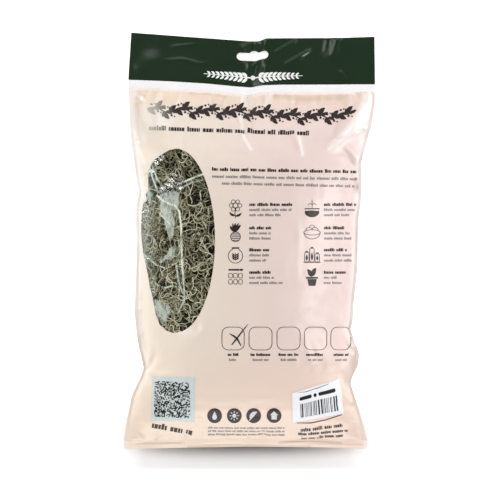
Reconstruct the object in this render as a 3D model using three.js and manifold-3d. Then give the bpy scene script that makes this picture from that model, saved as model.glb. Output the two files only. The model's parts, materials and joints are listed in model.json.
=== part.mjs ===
// A bag of dried Spanish moss: a printed film bag with a clear oval window and a hang header, filled with
// one bunch of moss and lying on its back panel. Millimetres, +Z up. X runs across the bag, Y along it
// towards the header, and the origin is under the middle of the bag, on the surface that it lies on.
import * as THREE from "three";
import { mergeVertices } from "three/addons/utils/BufferGeometryUtils.js";
import Module from "manifold-3d";

const wasm = await Module();
wasm.setup();

// Driving dimensions.
const FILM = 0.5; // film, drawn thick enough to be a solid
const GAP = 0.3; // clearance between pieces that touch
const SEAL_THICKNESS = 2 * FILM + GAP; // two films pressed together
const BAG_WIDTH = 246; // width of the flat film across either end
const BAG_LENGTH = 416; // filled, from the end seal to the top of the header
const BOTTOM_SEAL = { width: 8, x: -3, z: 26 };
const HEADER = { y: 147, x: 3, z: 20, slope: THREE.MathUtils.degToRad(14), weld: 6.5 };
const HANG_SLOT = { length: 31.5, height: 8.8, bumpRadius: 4.8, bumpRise: 2, belowTop: 24 };
const SIDE_WELD = 2.5;
const WINDOW = { x: -69.5, y: 0.4, halfWidth: 36.5, halfLength: 92.2 };
const LABEL = { x: 69.5, y: -166, width: 54, height: 32, turn: THREE.MathUtils.degToRad(12), thickness: 0.3 };
const MOSS = { firstRow: 1, lastRow: 27, reach: 0.95, clearance: 1.3 }; // rows of facets from the end seal

// How the filled bag lies: y, left and right edges, height of the side weld, and how far the front film
// rises above it and the back film drops below it at the middle.
const STATIONS = [
  [-200, -124.5, 118.5, 26, 0, 0],
  [-180, -121.5, 113.5, 31, 21, 21],
  [-155, -116, 107, 36, 35, 35],
  [-125, -110, 106, 38.5, 43, 41],
  [-90, -112, 104, 39, 45, 43],
  [-45, -113, 106, 39, 44, 44],
  [0, -112.5, 109, 38, 44, 43],
  [45, -111.5, 111.5, 37, 40, 40],
  [80, -114.5, 114, 33, 33, 33],
  [115, -118.5, 121.5, 27, 17, 18],
  [147, -120, 126, 20, 0, 0],
];
const ALONG = 30; // facets along the bag
const ACROSS = 16; // facets across it

const lie = new THREE.CubicInterpolant(
  STATIONS.map(([y]) => y),
  STATIONS.flatMap(([, ...values]) => values),
  STATIONS[0].length - 1,
);

// The bag at one y: its edges, its middle, the height of its side weld, and its rise and drop.
function stationAt(y) {
  const [left, right, seam, rise, drop] = lie.evaluate(y);
  const edge = SIDE_WELD + GAP;
  return { left, right, seam, rise, drop, middle: (left + right) / 2, half: (right - left) / 2 - edge };
}

// The share of the rise or drop that is left at this share of the half width: full at the middle, 0 at the weld.
const crown = (share) => Math.max(0, 1 - Math.abs(share) ** 3);

// The faces of the front film and the back film that are turned to the moss. The back film lies flat on the
// surface along its middle.
const frontInside = (s, share) => s.seam + GAP / 2 + s.rise * crown(share);
const backHang = (s, share) => s.seam - GAP / 2 - s.drop * crown(share);
const backInside = (s, share) => Math.max(FILM, backHang(s, share));

// Turns the diagonals of a box's lower face, so that each lies under the one above it and the two faces of a
// bent film stay parallel.
function matchDiagonals(box) {
  const { start, count } = box.groups.at(-1);
  const corners = box.index.array;
  for (let i = start; i < start + count; i += 6) {
    const [a, b, d, , c] = corners.slice(i, i + 6);
    corners.set([a, b, c, a, c, d], i);
  }
}

// A flat block of across by along cells, bent to shape: place(u, v, isTop) gives the point for each of its
// corners, with u from -1 to 1 across and v from 0 to 1 along.
function bend(across, along, place) {
  const geometry = new THREE.BoxGeometry(2, 1, 1, across, along, 1);
  matchDiagonals(geometry);
  const corners = geometry.attributes.position;
  for (let i = 0; i < corners.count; i++) {
    const point = place(corners.getX(i), corners.getY(i) + 0.5, corners.getZ(i) > 0);
    corners.setXYZ(i, point.x, point.y, point.z);
  }
  geometry.deleteAttribute("uv");
  geometry.computeVertexNormals();
  return geometry;
}

// The y of a row of facets, from 0 at the end seal to ALONG at the header weld.
const rowY = (row) => THREE.MathUtils.lerp(STATIONS[0][0] + GAP, HEADER.y - GAP, row / ALONG);

// One panel of film from the end seal to the header weld. inside(station, share) is its face towards the
// moss, and its other face lies one film above that on the front and one below it on the back.
function filmPanel(inside, isFront) {
  return bend(ACROSS, ALONG, (u, v, isTop) => {
    const y = rowY(v * ALONG);
    const s = stationAt(y);
    const outwards = isTop === isFront ? FILM : 0;
    return new THREE.Vector3(s.middle + u * s.half, y, inside(s, u) + (isFront ? outwards : -outwards));
  });
}

// A closed geometry as a solid, and back.
function toSolid(geometry) {
  const bare = geometry.clone();
  bare.deleteAttribute("normal");
  bare.deleteAttribute("uv");
  const merged = mergeVertices(bare, 1e-3);
  const vertProperties = new Float32Array(merged.attributes.position.array);
  const triVerts = new Uint32Array(merged.index.array);
  return new wasm.Manifold(new wasm.Mesh({ numProp: 3, vertProperties, triVerts }));
}

function toGeometry(solid) {
  const mesh = solid.getMesh();
  const geometry = new THREE.BufferGeometry();
  geometry.setAttribute("position", new THREE.BufferAttribute(mesh.vertProperties, 3));
  geometry.setIndex(new THREE.BufferAttribute(mesh.triVerts, 1));
  geometry.computeVertexNormals();
  return geometry;
}

// The upright oval column that parts the clear window from the printed film round it.
function windowColumn(inset) {
  const oval = new THREE.Shape();
  oval.absellipse(WINDOW.x, WINDOW.y, WINDOW.halfWidth - inset, WINDOW.halfLength - inset, 0, 2 * Math.PI);
  return toSolid(new THREE.ExtrudeGeometry(oval, { depth: BAG_WIDTH, bevelEnabled: false, curveSegments: 28 }));
}

// The hang slot: a round-ended slot with a half-round bump in the middle of its upper side.
function hangSlotPath(y) {
  const { length, height, bumpRadius, bumpRise } = HANG_SLOT;
  const end = height / 2;
  const reach = length / 2 - end;
  const bumpY = y + end + bumpRise - bumpRadius;
  const foot = Math.asin((y + end - bumpY) / bumpRadius);
  const slot = new THREE.Path();
  slot.moveTo(-reach, y - end);
  slot.lineTo(reach, y - end);
  slot.absarc(reach, y, end, -Math.PI / 2, Math.PI / 2);
  slot.absarc(0, bumpY, bumpRadius, foot, Math.PI - foot);
  slot.absarc(-reach, y, end, Math.PI / 2, (3 * Math.PI) / 2);
  return slot;
}

// One ply of the header, from its weld to its top edge, with the hang slot through it.
function headerPly() {
  const start = HEADER.weld + 2 * GAP;
  const end = (BAG_LENGTH / 2 - HEADER.y) / Math.cos(HEADER.slope);
  const side = BAG_WIDTH / 2;
  const outline = new THREE.Shape();
  outline.moveTo(-side, start);
  outline.lineTo(side, start);
  outline.lineTo(side, end);
  outline.lineTo(-side, end);
  outline.closePath();
  outline.holes.push(hangSlotPath(end - HANG_SLOT.belowTop));
  return new THREE.ExtrudeGeometry(outline, { depth: FILM, bevelEnabled: false, curveSegments: 10 });
}

// The bead that joins front and back film along one side: side is -1 for the left and 1 for the right.
function sideWeld(side) {
  return bend(1, ALONG, (u, v, isTop) => {
    const y = rowY(v * ALONG);
    const s = stationAt(y);
    const edge = side < 0 ? s.left : s.right;
    const inward = (SIDE_WELD * (1 - side * u)) / 2;
    const z = s.seam + (isTop ? SEAL_THICKNESS / 2 : -SEAL_THICKNESS / 2);
    return new THREE.Vector3(edge - side * inward, y, z);
  });
}

// The bunch of moss, filling the bag from just above the end seal to the empty neck below the header.
function mossBunch() {
  const rows = MOSS.lastRow - MOSS.firstRow;
  return bend(ACROSS, rows, (u, v, isTop) => {
    const y = rowY(MOSS.firstRow + v * rows);
    const s = stationAt(y);
    const share = u * MOSS.reach;
    const under = Math.max(FILM + GAP, backHang(s, share) + MOSS.clearance);
    const z = isTop ? frontInside(s, share) - MOSS.clearance : under;
    return new THREE.Vector3(s.middle + share * s.half, y, z);
  });
}

// The paper label, stuck to the front film and following it.
function paperLabel() {
  return bend(12, 8, (u, v, isTop) => {
    const point = new THREE.Vector2((u * LABEL.width) / 2, (v - 0.5) * LABEL.height);
    point.rotateAround(new THREE.Vector2(), LABEL.turn);
    const [x, y] = [LABEL.x + point.x, LABEL.y + point.y];
    const s = stationAt(y);
    const z = frontInside(s, (x - s.middle) / s.half) + FILM + GAP + (isTop ? LABEL.thickness : 0);
    return new THREE.Vector3(x, y, z);
  });
}

function piece(name, geometry, colour, roughness, opacity = 1) {
  const material = new THREE.MeshStandardMaterial({ color: colour, roughness, metalness: 0 });
  material.opacity = opacity;
  material.transparent = opacity < 1;
  const mesh = new THREE.Mesh(geometry, material);
  mesh.name = name;
  return mesh;
}

const bag = new THREE.Group();

const frontPanel = toSolid(filmPanel(frontInside, true));
const frontFilm = toGeometry(frontPanel.subtract(windowColumn(0)));
const windowFilm = toGeometry(frontPanel.intersect(windowColumn(GAP)));
bag.add(piece("front_film", frontFilm, 0xead2c6, 0.35));
bag.add(piece("window_film", windowFilm, 0xf2f6f4, 0.12, 0.3));
bag.add(piece("back_film", filmPanel(backInside, false), 0xead2c6, 0.35));
bag.add(piece("left_side_weld", sideWeld(-1), 0xf3e6dd, 0.3));
bag.add(piece("right_side_weld", sideWeld(1), 0xf3e6dd, 0.3));
bag.add(piece("moss_bunch", mossBunch(), 0x7d7759, 0.95));
bag.add(piece("barcode_label", paperLabel(), 0xf4f4fa, 0.55));

const bottomSealBar = new THREE.BoxGeometry(BAG_WIDTH, BOTTOM_SEAL.width, SEAL_THICKNESS);
const bottomSeal = piece("bottom_seal", bottomSealBar, 0xead2c6, 0.3);
bottomSeal.position.set(BOTTOM_SEAL.x, (BOTTOM_SEAL.width - BAG_LENGTH) / 2, BOTTOM_SEAL.z);
bag.add(bottomSeal);

const header = new THREE.Group();
header.position.set(HEADER.x, HEADER.y, HEADER.z);
header.rotation.x = -HEADER.slope;
const headerWeldBar = new THREE.BoxGeometry(BAG_WIDTH, HEADER.weld, SEAL_THICKNESS);
const headerWeld = piece("header_weld", headerWeldBar, 0xf7f1ee, 0.3);
headerWeld.position.y = GAP + HEADER.weld / 2;
const frontPly = piece("header_front_ply", headerPly(), 0x1f3320, 0.3);
frontPly.position.z = GAP / 2;
const backPly = piece("header_back_ply", headerPly(), 0x1f3320, 0.3);
backPly.position.z = -GAP / 2 - FILM;
header.add(headerWeld, frontPly, backPly);
bag.add(header);

export default bag;
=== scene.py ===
"""Looks of a film bag filled with dried Spanish moss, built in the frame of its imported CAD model.

The bag lies on its back panel, +Y towards its hang header and +Z up. Drawings and places in this file are in
millimetres, and become metres where a mesh is made. "Seen" places are where something appears to the camera,
on the level of the bag's ends.
"""

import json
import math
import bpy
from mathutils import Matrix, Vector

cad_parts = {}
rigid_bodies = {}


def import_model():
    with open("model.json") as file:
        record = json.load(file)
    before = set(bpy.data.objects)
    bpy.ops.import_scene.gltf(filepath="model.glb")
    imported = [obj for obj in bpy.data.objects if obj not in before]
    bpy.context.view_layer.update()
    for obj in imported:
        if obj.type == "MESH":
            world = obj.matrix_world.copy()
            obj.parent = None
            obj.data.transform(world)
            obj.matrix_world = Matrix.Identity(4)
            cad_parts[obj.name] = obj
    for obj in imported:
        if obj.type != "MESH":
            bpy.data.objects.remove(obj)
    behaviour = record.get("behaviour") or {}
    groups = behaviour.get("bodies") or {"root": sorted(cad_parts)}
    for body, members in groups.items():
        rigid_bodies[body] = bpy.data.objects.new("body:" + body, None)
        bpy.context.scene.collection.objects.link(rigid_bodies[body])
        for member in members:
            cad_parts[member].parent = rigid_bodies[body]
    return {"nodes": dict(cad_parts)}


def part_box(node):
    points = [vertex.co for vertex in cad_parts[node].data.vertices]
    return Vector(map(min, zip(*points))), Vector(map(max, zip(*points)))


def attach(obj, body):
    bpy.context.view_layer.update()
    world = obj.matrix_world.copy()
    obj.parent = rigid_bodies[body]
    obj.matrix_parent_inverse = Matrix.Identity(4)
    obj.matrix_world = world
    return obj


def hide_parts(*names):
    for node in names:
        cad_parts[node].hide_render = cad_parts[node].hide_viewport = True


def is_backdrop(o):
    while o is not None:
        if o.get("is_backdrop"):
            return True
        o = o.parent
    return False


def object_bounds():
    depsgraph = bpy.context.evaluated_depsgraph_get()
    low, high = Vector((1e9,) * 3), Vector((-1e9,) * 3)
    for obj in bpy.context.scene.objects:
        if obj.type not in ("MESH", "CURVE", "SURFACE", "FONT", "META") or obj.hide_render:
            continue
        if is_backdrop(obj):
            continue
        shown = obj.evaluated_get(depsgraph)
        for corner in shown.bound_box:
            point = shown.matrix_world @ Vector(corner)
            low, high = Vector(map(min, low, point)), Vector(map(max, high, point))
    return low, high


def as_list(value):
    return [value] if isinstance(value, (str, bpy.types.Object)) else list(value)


bl_info = {
    "name": "Bag of Dried Moss",
    "version": (1, 0, 0),
    "blender": (4, 5, 0),
    "location": "View3D > Sidebar > Moss Bag",
    "description": "Builds a printed film bag with a clear window and a bunch of dried moss in it",
    "category": "Object",
}

from collections import namedtuple
from functools import cache, partial

import bpy
import numpy as np
from bpy.props import FloatProperty, FloatVectorProperty, IntProperty, PointerProperty
from mathutils import Vector, noise

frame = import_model()
CAD_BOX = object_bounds()

MM = 0.001
BODY = "root"
EYE = np.array([1.5, -9.0, 1413.0])  # the camera's place
SEEN_LEVEL = 24.0  # the height at which seen places are true sizes

# The filled bag's seen outline: y and x of its left and right edges, with notches where the film folds in.
LEFT_EDGE = (
    (-200, -124.8), (-180, -121.7), (-155, -116.9), (-138, -108.5), (-127, -104.9), (-115, -107.4),
    (-104, -110.2), (-89, -112.4), (-69, -114.1), (-46, -113.1), (-18, -112.1), (30, -112.7), (41, -111.4),
    (46, -109.4), (59, -111.8), (78, -114.3), (97, -117), (116, -118.8), (155, -120.2),
)
RIGHT_EDGE = (
    (-200, 118.6), (-180, 113.6), (-167, 109.8), (-152, 105), (-142, 102.1), (-133, 105), (-123, 109.8),
    (-113, 110.7), (-100, 106.2), (-89, 102.1), (-79, 104.4), (-65, 105), (-27, 109), (21, 109.8),
    (40, 112.7), (63, 113.2), (78, 112.7), (93, 116.5), (116, 123.2), (139, 126.6), (150, 126.3),
)
# The line where the body meets the header's weld, and where it meets the end seal: seen x and y.
NECK_LINE = (
    (-124, 155), (-80, 153.6), (-43, 151.4), (-15, 148.6), (1.5, 147.2), (14, 149.4), (30, 150), (127, 150.3),
)
END_LINE = ((-126, -200.4), (-60, -198.6), (0, -197.6), (60, -198.4), (121, -199.6))
# How far the film of the neck and of the end seal waves up and down: x and z.
NECK_WAVE = (
    (-124, -2), (-95, 1.5), (-60, 3), (-25, 1.5), (1.5, -2.5), (16, 1.5), (50, 3), (85, 0.5), (127, -2.5),
)
END_WAVE = ((-126, -3), (-80, 0.5), (-30, 1.5), (30, 0.5), (75, -1.5), (121, 1))


def mm(metres):
    """A length of the frame in this file's millimetres."""
    return metres / MM


def curve(points, places, steps=256, window=9):
    """A smooth line through points of (place, value), at these places."""
    at, value = np.array(points, float).T
    fine = np.linspace(at[0], at[-1], steps)
    weights = np.hanning(window) / np.hanning(window).sum()
    padded = np.pad(np.interp(fine, at, value), window // 2, "reflect", reflect_type="odd")
    return np.interp(places, fine, np.convolve(padded, weights, "valid"))


def side_by_side(*values):
    """Arrays of values that belong together, such as coordinates, as one array of points."""
    return np.stack(values, -1)


def arc_lengths(*steps):
    """How far along a line its points are, from its steps in each direction."""
    return np.concatenate([[0], np.cumsum(np.hypot(*steps))])


def ease(t):
    """Rises smoothly from 0 to 1 as t does."""
    t = np.clip(t, 0, 1)
    return t * t * (3 - 2 * t)


def seen(points):
    """Where the camera sees points."""
    return EYE[:2] + (points[..., :2] - EYE[:2]) * (EYE[2] - SEEN_LEVEL) / (EYE[2] - points[..., 2:])


def under(seen_xy, z):
    """The point at height z that the camera sees at a seen place."""
    return EYE[:2] + (seen_xy - EYE[:2]) * (EYE[2] - z) / (EYE[2] - SEEN_LEVEL)


def field(points, size, seed=0.0):
    """Smooth noise from -1 to 1 at points, with lumps of this size."""
    places = np.asarray(points, float) / size + seed
    return np.array([noise.noise(Vector(p)) for p in places.reshape(-1, 3)]).reshape(places.shape[:-1])


# ---- Film surfaces


def neighbours(t, count):
    """The four controls next to each place t on a Catmull-Rom curve, and the share of each."""
    cell = np.clip(np.floor(t).astype(int), 0, count - 2)
    f = t - cell
    controls = np.clip(cell[..., None] + np.arange(-1, 3), 0, count - 1)
    shares = [-f + 2 * f**2 - f**3, 2 - 5 * f**2 + 3 * f**3, f + 4 * f**2 - 3 * f**3, f**3 - f**2]
    return controls, side_by_side(*shares) / 2


class Surface:
    """A sheet of film: a grid of points, one row for each place along it, over its flat width and length."""

    WIDER = 1.08  # flat width for a seen width, where the search for a seen place starts
    MIDDLE = 205  # the place along the film that is seen near y 0
    ROUNDS, STEP, PACE = 12, 0.5, 0.8  # of that search, the step that it tests, and the share that it goes
    LEAST_AREA = 0.05  # the least seen area for a flat square millimetre that it works with

    def __init__(self, grid, across, along):
        self.grid, self.across, self.along = grid, across, along

    def cells(self, a, b):
        """Which rows and columns of the grid flat places are on, with their fractions."""
        rows, columns = self.grid.shape[:2]
        column = (np.asarray(a, float) - self.across[0]) / (self.across[1] - self.across[0]) * (columns - 1)
        row = (np.asarray(b, float) - self.along[0]) / (self.along[1] - self.along[0]) * (rows - 1)
        return np.clip(row, 0, rows - 1), np.clip(column, 0, columns - 1)

    def at(self, a, b):
        """Points for flat places a across and b along."""
        row, column = self.cells(a, b)
        r, row_share = neighbours(row, self.grid.shape[0])
        c, column_share = neighbours(column, self.grid.shape[1])
        near = self.grid[r[..., :, None], c[..., None, :]]
        return np.einsum("...ijk,...i,...j->...k", near, row_share, column_share)

    def flat_place(self, seen_xy):
        """The flat places, across and along, that the camera sees at seen places."""
        target = np.asarray(seen_xy, float)
        a, b = target[..., 0] * self.WIDER, target[..., 1] + self.MIDDLE
        for _ in range(self.ROUNDS):
            here = seen(self.at(a, b))
            by_a = (seen(self.at(a + self.STEP, b)) - here) / self.STEP
            by_b = (seen(self.at(a, b + self.STEP)) - here) / self.STEP
            miss = target - here
            area = by_a[..., 0] * by_b[..., 1] - by_a[..., 1] * by_b[..., 0]
            area = np.where(np.abs(area) < self.LEAST_AREA, self.LEAST_AREA, area)
            a = a + self.PACE * (miss[..., 0] * by_b[..., 1] - miss[..., 1] * by_b[..., 0]) / area
            b = b + self.PACE * (miss[..., 1] * by_a[..., 0] - miss[..., 0] * by_a[..., 1]) / area
            a, b = np.clip(a, *self.across), np.clip(b, *self.along)
        return side_by_side(a, b)


def normals_of(grid):
    """The upward normal at each point of a grid whose rows run along and columns across."""
    n = np.cross(np.gradient(grid, axis=1), np.gradient(grid, axis=0))
    return n / np.maximum(np.linalg.norm(n, axis=-1, keepdims=True), 1e-9)


class Sheet:
    """A finished fine sheet: its flat places, points and normals, as grids."""

    def __init__(self, surface, cell, relief, outward=1):
        columns = round((surface.across[1] - surface.across[0]) / cell) + 1
        rows = round((surface.along[1] - surface.along[0]) / cell) + 1
        self.a, self.b = np.meshgrid(np.linspace(*surface.across, columns), np.linspace(*surface.along, rows))
        base = surface.at(self.a, self.b)
        self.surface = surface
        self.points = base + normals_of(base) * outward * relief(self.a, self.b)[..., None]
        self.normals = normals_of(self.points) * outward

    def on(self, a, b, lift):
        """Points this far above the sheet, on its own facets, for flat places."""
        cells = Surface(self.points, self.surface.across, self.surface.along)
        row, column = cells.cells(a, b)
        r = np.minimum(row.astype(int), self.points.shape[0] - 2)
        c = np.minimum(column.astype(int), self.points.shape[1] - 2)
        f, g = (row - r)[..., None], (column - c)[..., None]

        def blend(grid):
            low = grid[r, c] * (1 - g) + grid[r, c + 1] * g
            high = grid[r + 1, c] * (1 - g) + grid[r + 1, c + 1] * g
            return low * (1 - f) + high * f

        n = blend(self.normals)
        n = n / np.linalg.norm(n, axis=-1, keepdims=True)
        return blend(self.points) + n * lift


# ---- Creases

# A fold in the film: its line over the flat film, how far it stands out at its middle, half its width, the
# share of its length over which it fades at its start and end, and whether its ridge is rounded.
Crease = namedtuple("Crease", "line height width fade_in fade_out soft", defaults=(False,))
RIDGE_POWER = 1.2  # how steeply a sharp ridge falls towards its foot
ROUND_POWER = 2.2  # and a rounded one


def crease_height(creases, a, b):
    """How far these creases lift the film at flat places."""
    total = np.zeros(np.shape(a))
    for crease in creases:
        line = np.array(crease.line, float)
        low, high = line.min(0) - 2 * crease.width, line.max(0) + 2 * crease.width
        near = (a > low[0]) & (a < high[0]) & (b > low[1]) & (b < high[1])
        x, y = a[near], b[near]
        gap, place = np.full(x.shape, np.inf), np.zeros(x.shape)
        steps = np.diff(line, axis=0).T
        starts = arc_lengths(*steps)
        for p, q, start, length in zip(line[:-1], line[1:], starts, np.hypot(*steps)):
            d = (q - p) / length
            t = np.clip((x - p[0]) * d[0] + (y - p[1]) * d[1], 0, length)
            off = np.hypot(x - p[0] - t * d[0], y - p[1] - t * d[1])
            place = np.where(off < gap, start + t, place)
            gap = np.minimum(off, gap)
        place /= starts[-1]
        share = gap / crease.width
        sharp, rounded = np.clip(1 - share, 0, 1) ** RIDGE_POWER, np.exp(-ROUND_POWER * share**2)
        profile = rounded if crease.soft else sharp
        fade = ease(place / crease.fade_in) * ease((1 - place) / crease.fade_out)
        total[near] += crease.height * profile * fade
    return total


# Creases with a place of their own on the front: seen line, height, half width, fades, and if it's rounded.
FRONT_CREASES = (
    (((-88, 44), (-73.5, 37.6), (-68, 32), (-66.5, 16), (-66.5, 0), (-65.5, -39), (-62.5, -60)),
     2.2, 7, 0.1, 0.1),
    (((-66.5, 60), (-45, 67.3)), 1.3, 5, 0.2, 0.3),
    (((-103, 68), (-92.5, 51), (-76, 43)), -1.6, 6, 0.05, 0.3),
    (((-104, 47), (-90, 46), (-78, 54)), 1.5, 6, 0.05, 0.3),
    (((-80, -36), (-65.5, -52)), 1.1, 4, 0.3, 0.1),
    (((-64, -58), (-71, -69), (-77, -79)), 1.2, 4.5, 0.1, 0.3),
    (((-90, 20), (-74, -8), (-72, -24)), -1.3, 6, 0.2, 0.3),
    (((-98, -20), (-80, -6), (-71, 3)), 1.0, 6, 0.2, 0.3),
    (((-95, -55), (-82, -62), (-72, -60)), -1.2, 5, 0.2, 0.3),
    (((-6.2, 147), (-2, 120), (1.9, 93)), 2.6, 4.5, 0.02, 0.3),
    (((-30, 141), (-20, 128), (-8, 118), (4, 96)), -1.6, 5, 0.05, 0.3),
    (((20, 149), (21, 132)), 2.6, 4.5, 0.05, 0.5),
    (((40, 116), (46, 104), (54, 86)), 2.4, 4.5, 0.3, 0.4),
    (((124, 147), (102, 120), (81, 89)), 5, 13, 0.05, 0.4, True),
    (((118, 112), (98, 103), (76, 96)), -2.2, 4, 0.05, 0.4),
    (((116, 103), (96, 95), (82, 92)), 2.2, 4, 0.05, 0.5),
    (((112, 94), (97, 88), (88, 90)), -2.0, 4, 0.05, 0.5),
    (((-117, 141), (-105, 141)), -2.2, 6, 0.2, 0.2, True),
    (((-112, 139), (-108, 118), (-100, 96)), -2.4, 7, 0.05, 0.4, True),
    (((-103, 142), (-97, 125), (-94, 112)), 1.8, 5, 0.05, 0.4),
    (((-40, 140), (-22, 139)), -2.4, 7, 0.2, 0.2, True),
    (((34, 139), (66, 138), (99, 139)), -2.6, 7, 0.2, 0.2, True),
    (((101, -141), (92, -131), (76, -134), (58, -141)), -2.6, 9, 0.02, 0.6, True),
    (((101, -139), (90, -121), (74, -116)), 1.2, 9, 0.02, 0.6, True),
    (((-105, -127), (-96, -120), (-88, -104)), -1.4, 8, 0.02, 0.6, True),
    (((-105, -128), (-97, -141), (-95, -160)), -1.2, 8, 0.02, 0.6, True),
    (((-112, -190), (-104, -201), (-66, -201)), 1.3, 3, 0.2, 0.3),
    (((31, -199), (63, -195), (92, -199)), 1.3, 3.5, 0.3, 0.3),
)
# The notches, as side and seen y, where fans of creases start.
NOTCHES = ((-1, 46), (-1, -127), (1, 78), (1, -89), (1, -142))

# Random creases: from and to how long, how high and how wide they are, their fades, and if they're rounded.
Spread = namedtuple("Spread", "reach height width fades soft", defaults=((0.02, 0.8), False))
PLEAT = Spread((0.3, 1), (0.8, 2.2), (3, 6.5))  # its length is a share of the longest there
FAN = Spread((16, 46), (0.4, 1.1), (3.5, 6))
PUCKER = Spread((7, 20), (0.4, 0.8), (3, 5))
FACET = Spread((30, 90), (0.25, 0.6), (8, 14), (0.4, 0.4), True)
FAN_COUNT, FAN_TURN = 6, 0.34  # creases in a fan, and the angle between them
PUCKER_COUNT, FACET_COUNT = 16, 20  # along each weld, and over each film


def random_creases(film, front):
    """Pleats below the neck and above the end seal, fans from the notches, puckers along the side welds and
    faint facets over the body."""
    rng = np.random.default_rng(film.seed + (1 if front is None else 0))
    half, length = film_size(film)
    creases = []

    def add(start, angle, kind, longer=1, higher=1):
        """Adds a random crease of this kind, from a flat place on and at this angle."""
        reach, height, width = (rng.uniform(*kind[i]) for i in range(3))
        bend = angle + rng.normal(0, 0.12)
        middle = start + 0.5 * (reach * longer) * np.array([math.cos(angle), math.sin(angle)])
        end = middle + 0.5 * (reach * longer) * np.array([math.cos(bend), math.sin(bend)])
        height = height * higher * rng.choice([-1, 1])
        creases.append(Crease([start, middle, end], height, width, *kind.fades, kind.soft))

    for edge, down, count, longest in ((length, -1, 22, 62), (0, 1, 14, 34)):
        for k in range(count):
            start = np.array([half * (2 * (k + rng.uniform(0.1, 0.9)) / count - 1), edge], float)
            lean = down * math.pi / 2 + start[0] / half * 0.25 + rng.normal(0, 0.12)
            add(start, lean, PLEAT, longer=longest)
    for side, y in NOTCHES:
        start = front.flat_place([side * 118.0, float(y)]) if front else np.array([0.0, y + Surface.MIDDLE])
        start[0] = side * half
        for k in range(FAN_COUNT):
            lean = (math.pi if side > 0 else 0) + (k - (FAN_COUNT - 1) / 2) * FAN_TURN + rng.normal(0, 0.08)
            add(start, lean, FAN, higher=1.5 if y > 0 else 0.9)
    for side in (-1, 1):
        for _ in range(PUCKER_COUNT):
            start = np.array([side * half, rng.uniform(10, length - 10)])
            add(start, (math.pi if side > 0 else 0) + rng.normal(0, 0.35), PUCKER)
    for _ in range(FACET_COUNT):
        start = np.array([rng.uniform(-0.8, 0.8) * half, rng.uniform(0.1, 0.85) * length])
        add(start, rng.uniform(0, math.pi), FACET)
    return creases


def film_size(film):
    """Half the width of the flat film between the side welds, and its length."""
    return mm(film.flat_width) / 2 - mm(film.weld_width), mm(film.flat_length)


def new_mesh(name, points, edges, faces):
    """A mesh of points in metres."""
    mesh = bpy.data.meshes.new(name)
    mesh.from_pydata(points, edges, faces)
    return mesh


def add_object(name, data):
    """A new object in the scene, at the origin."""
    made = bpy.data.objects.new(name, data)
    bpy.context.scene.collection.objects.link(made)
    return made


def vertices_of(mesh):
    """Where a mesh's vertices are."""
    points = np.zeros(len(mesh.vertices) * 3)
    mesh.vertices.foreach_get("co", points)
    return mm(points.reshape(-1, 3))


def quads(ids, flip=False):
    """The faces between neighbours of a grid of vertex numbers."""
    cells = side_by_side(ids[:-1, :-1], ids[:-1, 1:], ids[1:, 1:], ids[1:, :-1]).reshape(-1, 4)
    return cells[:, ::-1] if flip else cells


# The film's settings while it is filled, and for how many frames it is blown up.
CLOTH = {
    "vertex_group_mass": "pins",
    "quality": 9,
    "mass": 0.15,
    "tension_stiffness": 300,
    "compression_stiffness": 300,
    "shear_stiffness": 150,
    "bending_model": "ANGULAR",
    "bending_stiffness": 0.02,
    "tension_damping": 5,
    "compression_damping": 5,
    "air_damping": 3,
    "use_pressure": True,
    "uniform_pressure_force": 3,
}
FRAMES = 24
TOUCH, FLOOR = 0.001, -0.0008  # how near the film comes to what it lies on, and the floor's height: metres
NARROWER, FLATTER = 0.97, 0.1  # what the moss in it keeps of its width, and loses of its thickness


def blow_up(start, flat, faces, pins):
    """Points of the film once it is blown up round the moss, as cloth of its own flat size."""
    scene = bpy.context.scene
    bag = add_object("filling", new_mesh("filling", start * MM, [], faces))
    bag.shape_key_add(name="Basis")
    rest = bag.shape_key_add(name="flat")
    rest.data.foreach_set("co", (flat * MM).ravel())
    rest.value = 0
    bag.vertex_groups.new(name="pins").add(pins, 1.0, "REPLACE")
    cloth = bag.modifiers.new("Cloth", "CLOTH")
    cloth.settings.rest_shape_key = rest
    for key, setting in CLOTH.items():
        setattr(cloth.settings, key, setting)
    cloth.settings.effector_weights.gravity = 0
    cloth.collision_settings.distance_min = TOUCH
    cloth.collision_settings.use_self_collision = False

    moss = add_object("filling_moss", frame["nodes"]["moss_bunch"].data.copy())
    low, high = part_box("moss_bunch")
    for vertex in moss.data.vertices:
        vertex.co.x *= NARROWER
        vertex.co.z += ((low.z + high.z) / 2 - vertex.co.z) * FLATTER
    ground = [(x, y, FLOOR) for x, y in ((-1, -1), (1, -1), (1, 1), (-1, 1))]
    floor = add_object("rest", new_mesh("rest", ground, [], [(0, 1, 2, 3)]))
    for solid in (moss, floor):
        solid.modifiers.new("Collision", "COLLISION")
        solid.collision.thickness_outer = TOUCH
    cloth.point_cache.frame_start, cloth.point_cache.frame_end = 1, FRAMES
    for number in range(1, FRAMES + 1):
        scene.frame_set(number)
    result = bpy.data.meshes.new_from_object(bag.evaluated_get(bpy.context.evaluated_depsgraph_get()))
    end = vertices_of(result)
    bpy.data.meshes.remove(result)
    for used in (bag, moss, floor):
        data = used.data
        bpy.data.objects.remove(used)
        bpy.data.meshes.remove(data)
    scene.frame_set(1)
    return end


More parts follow.
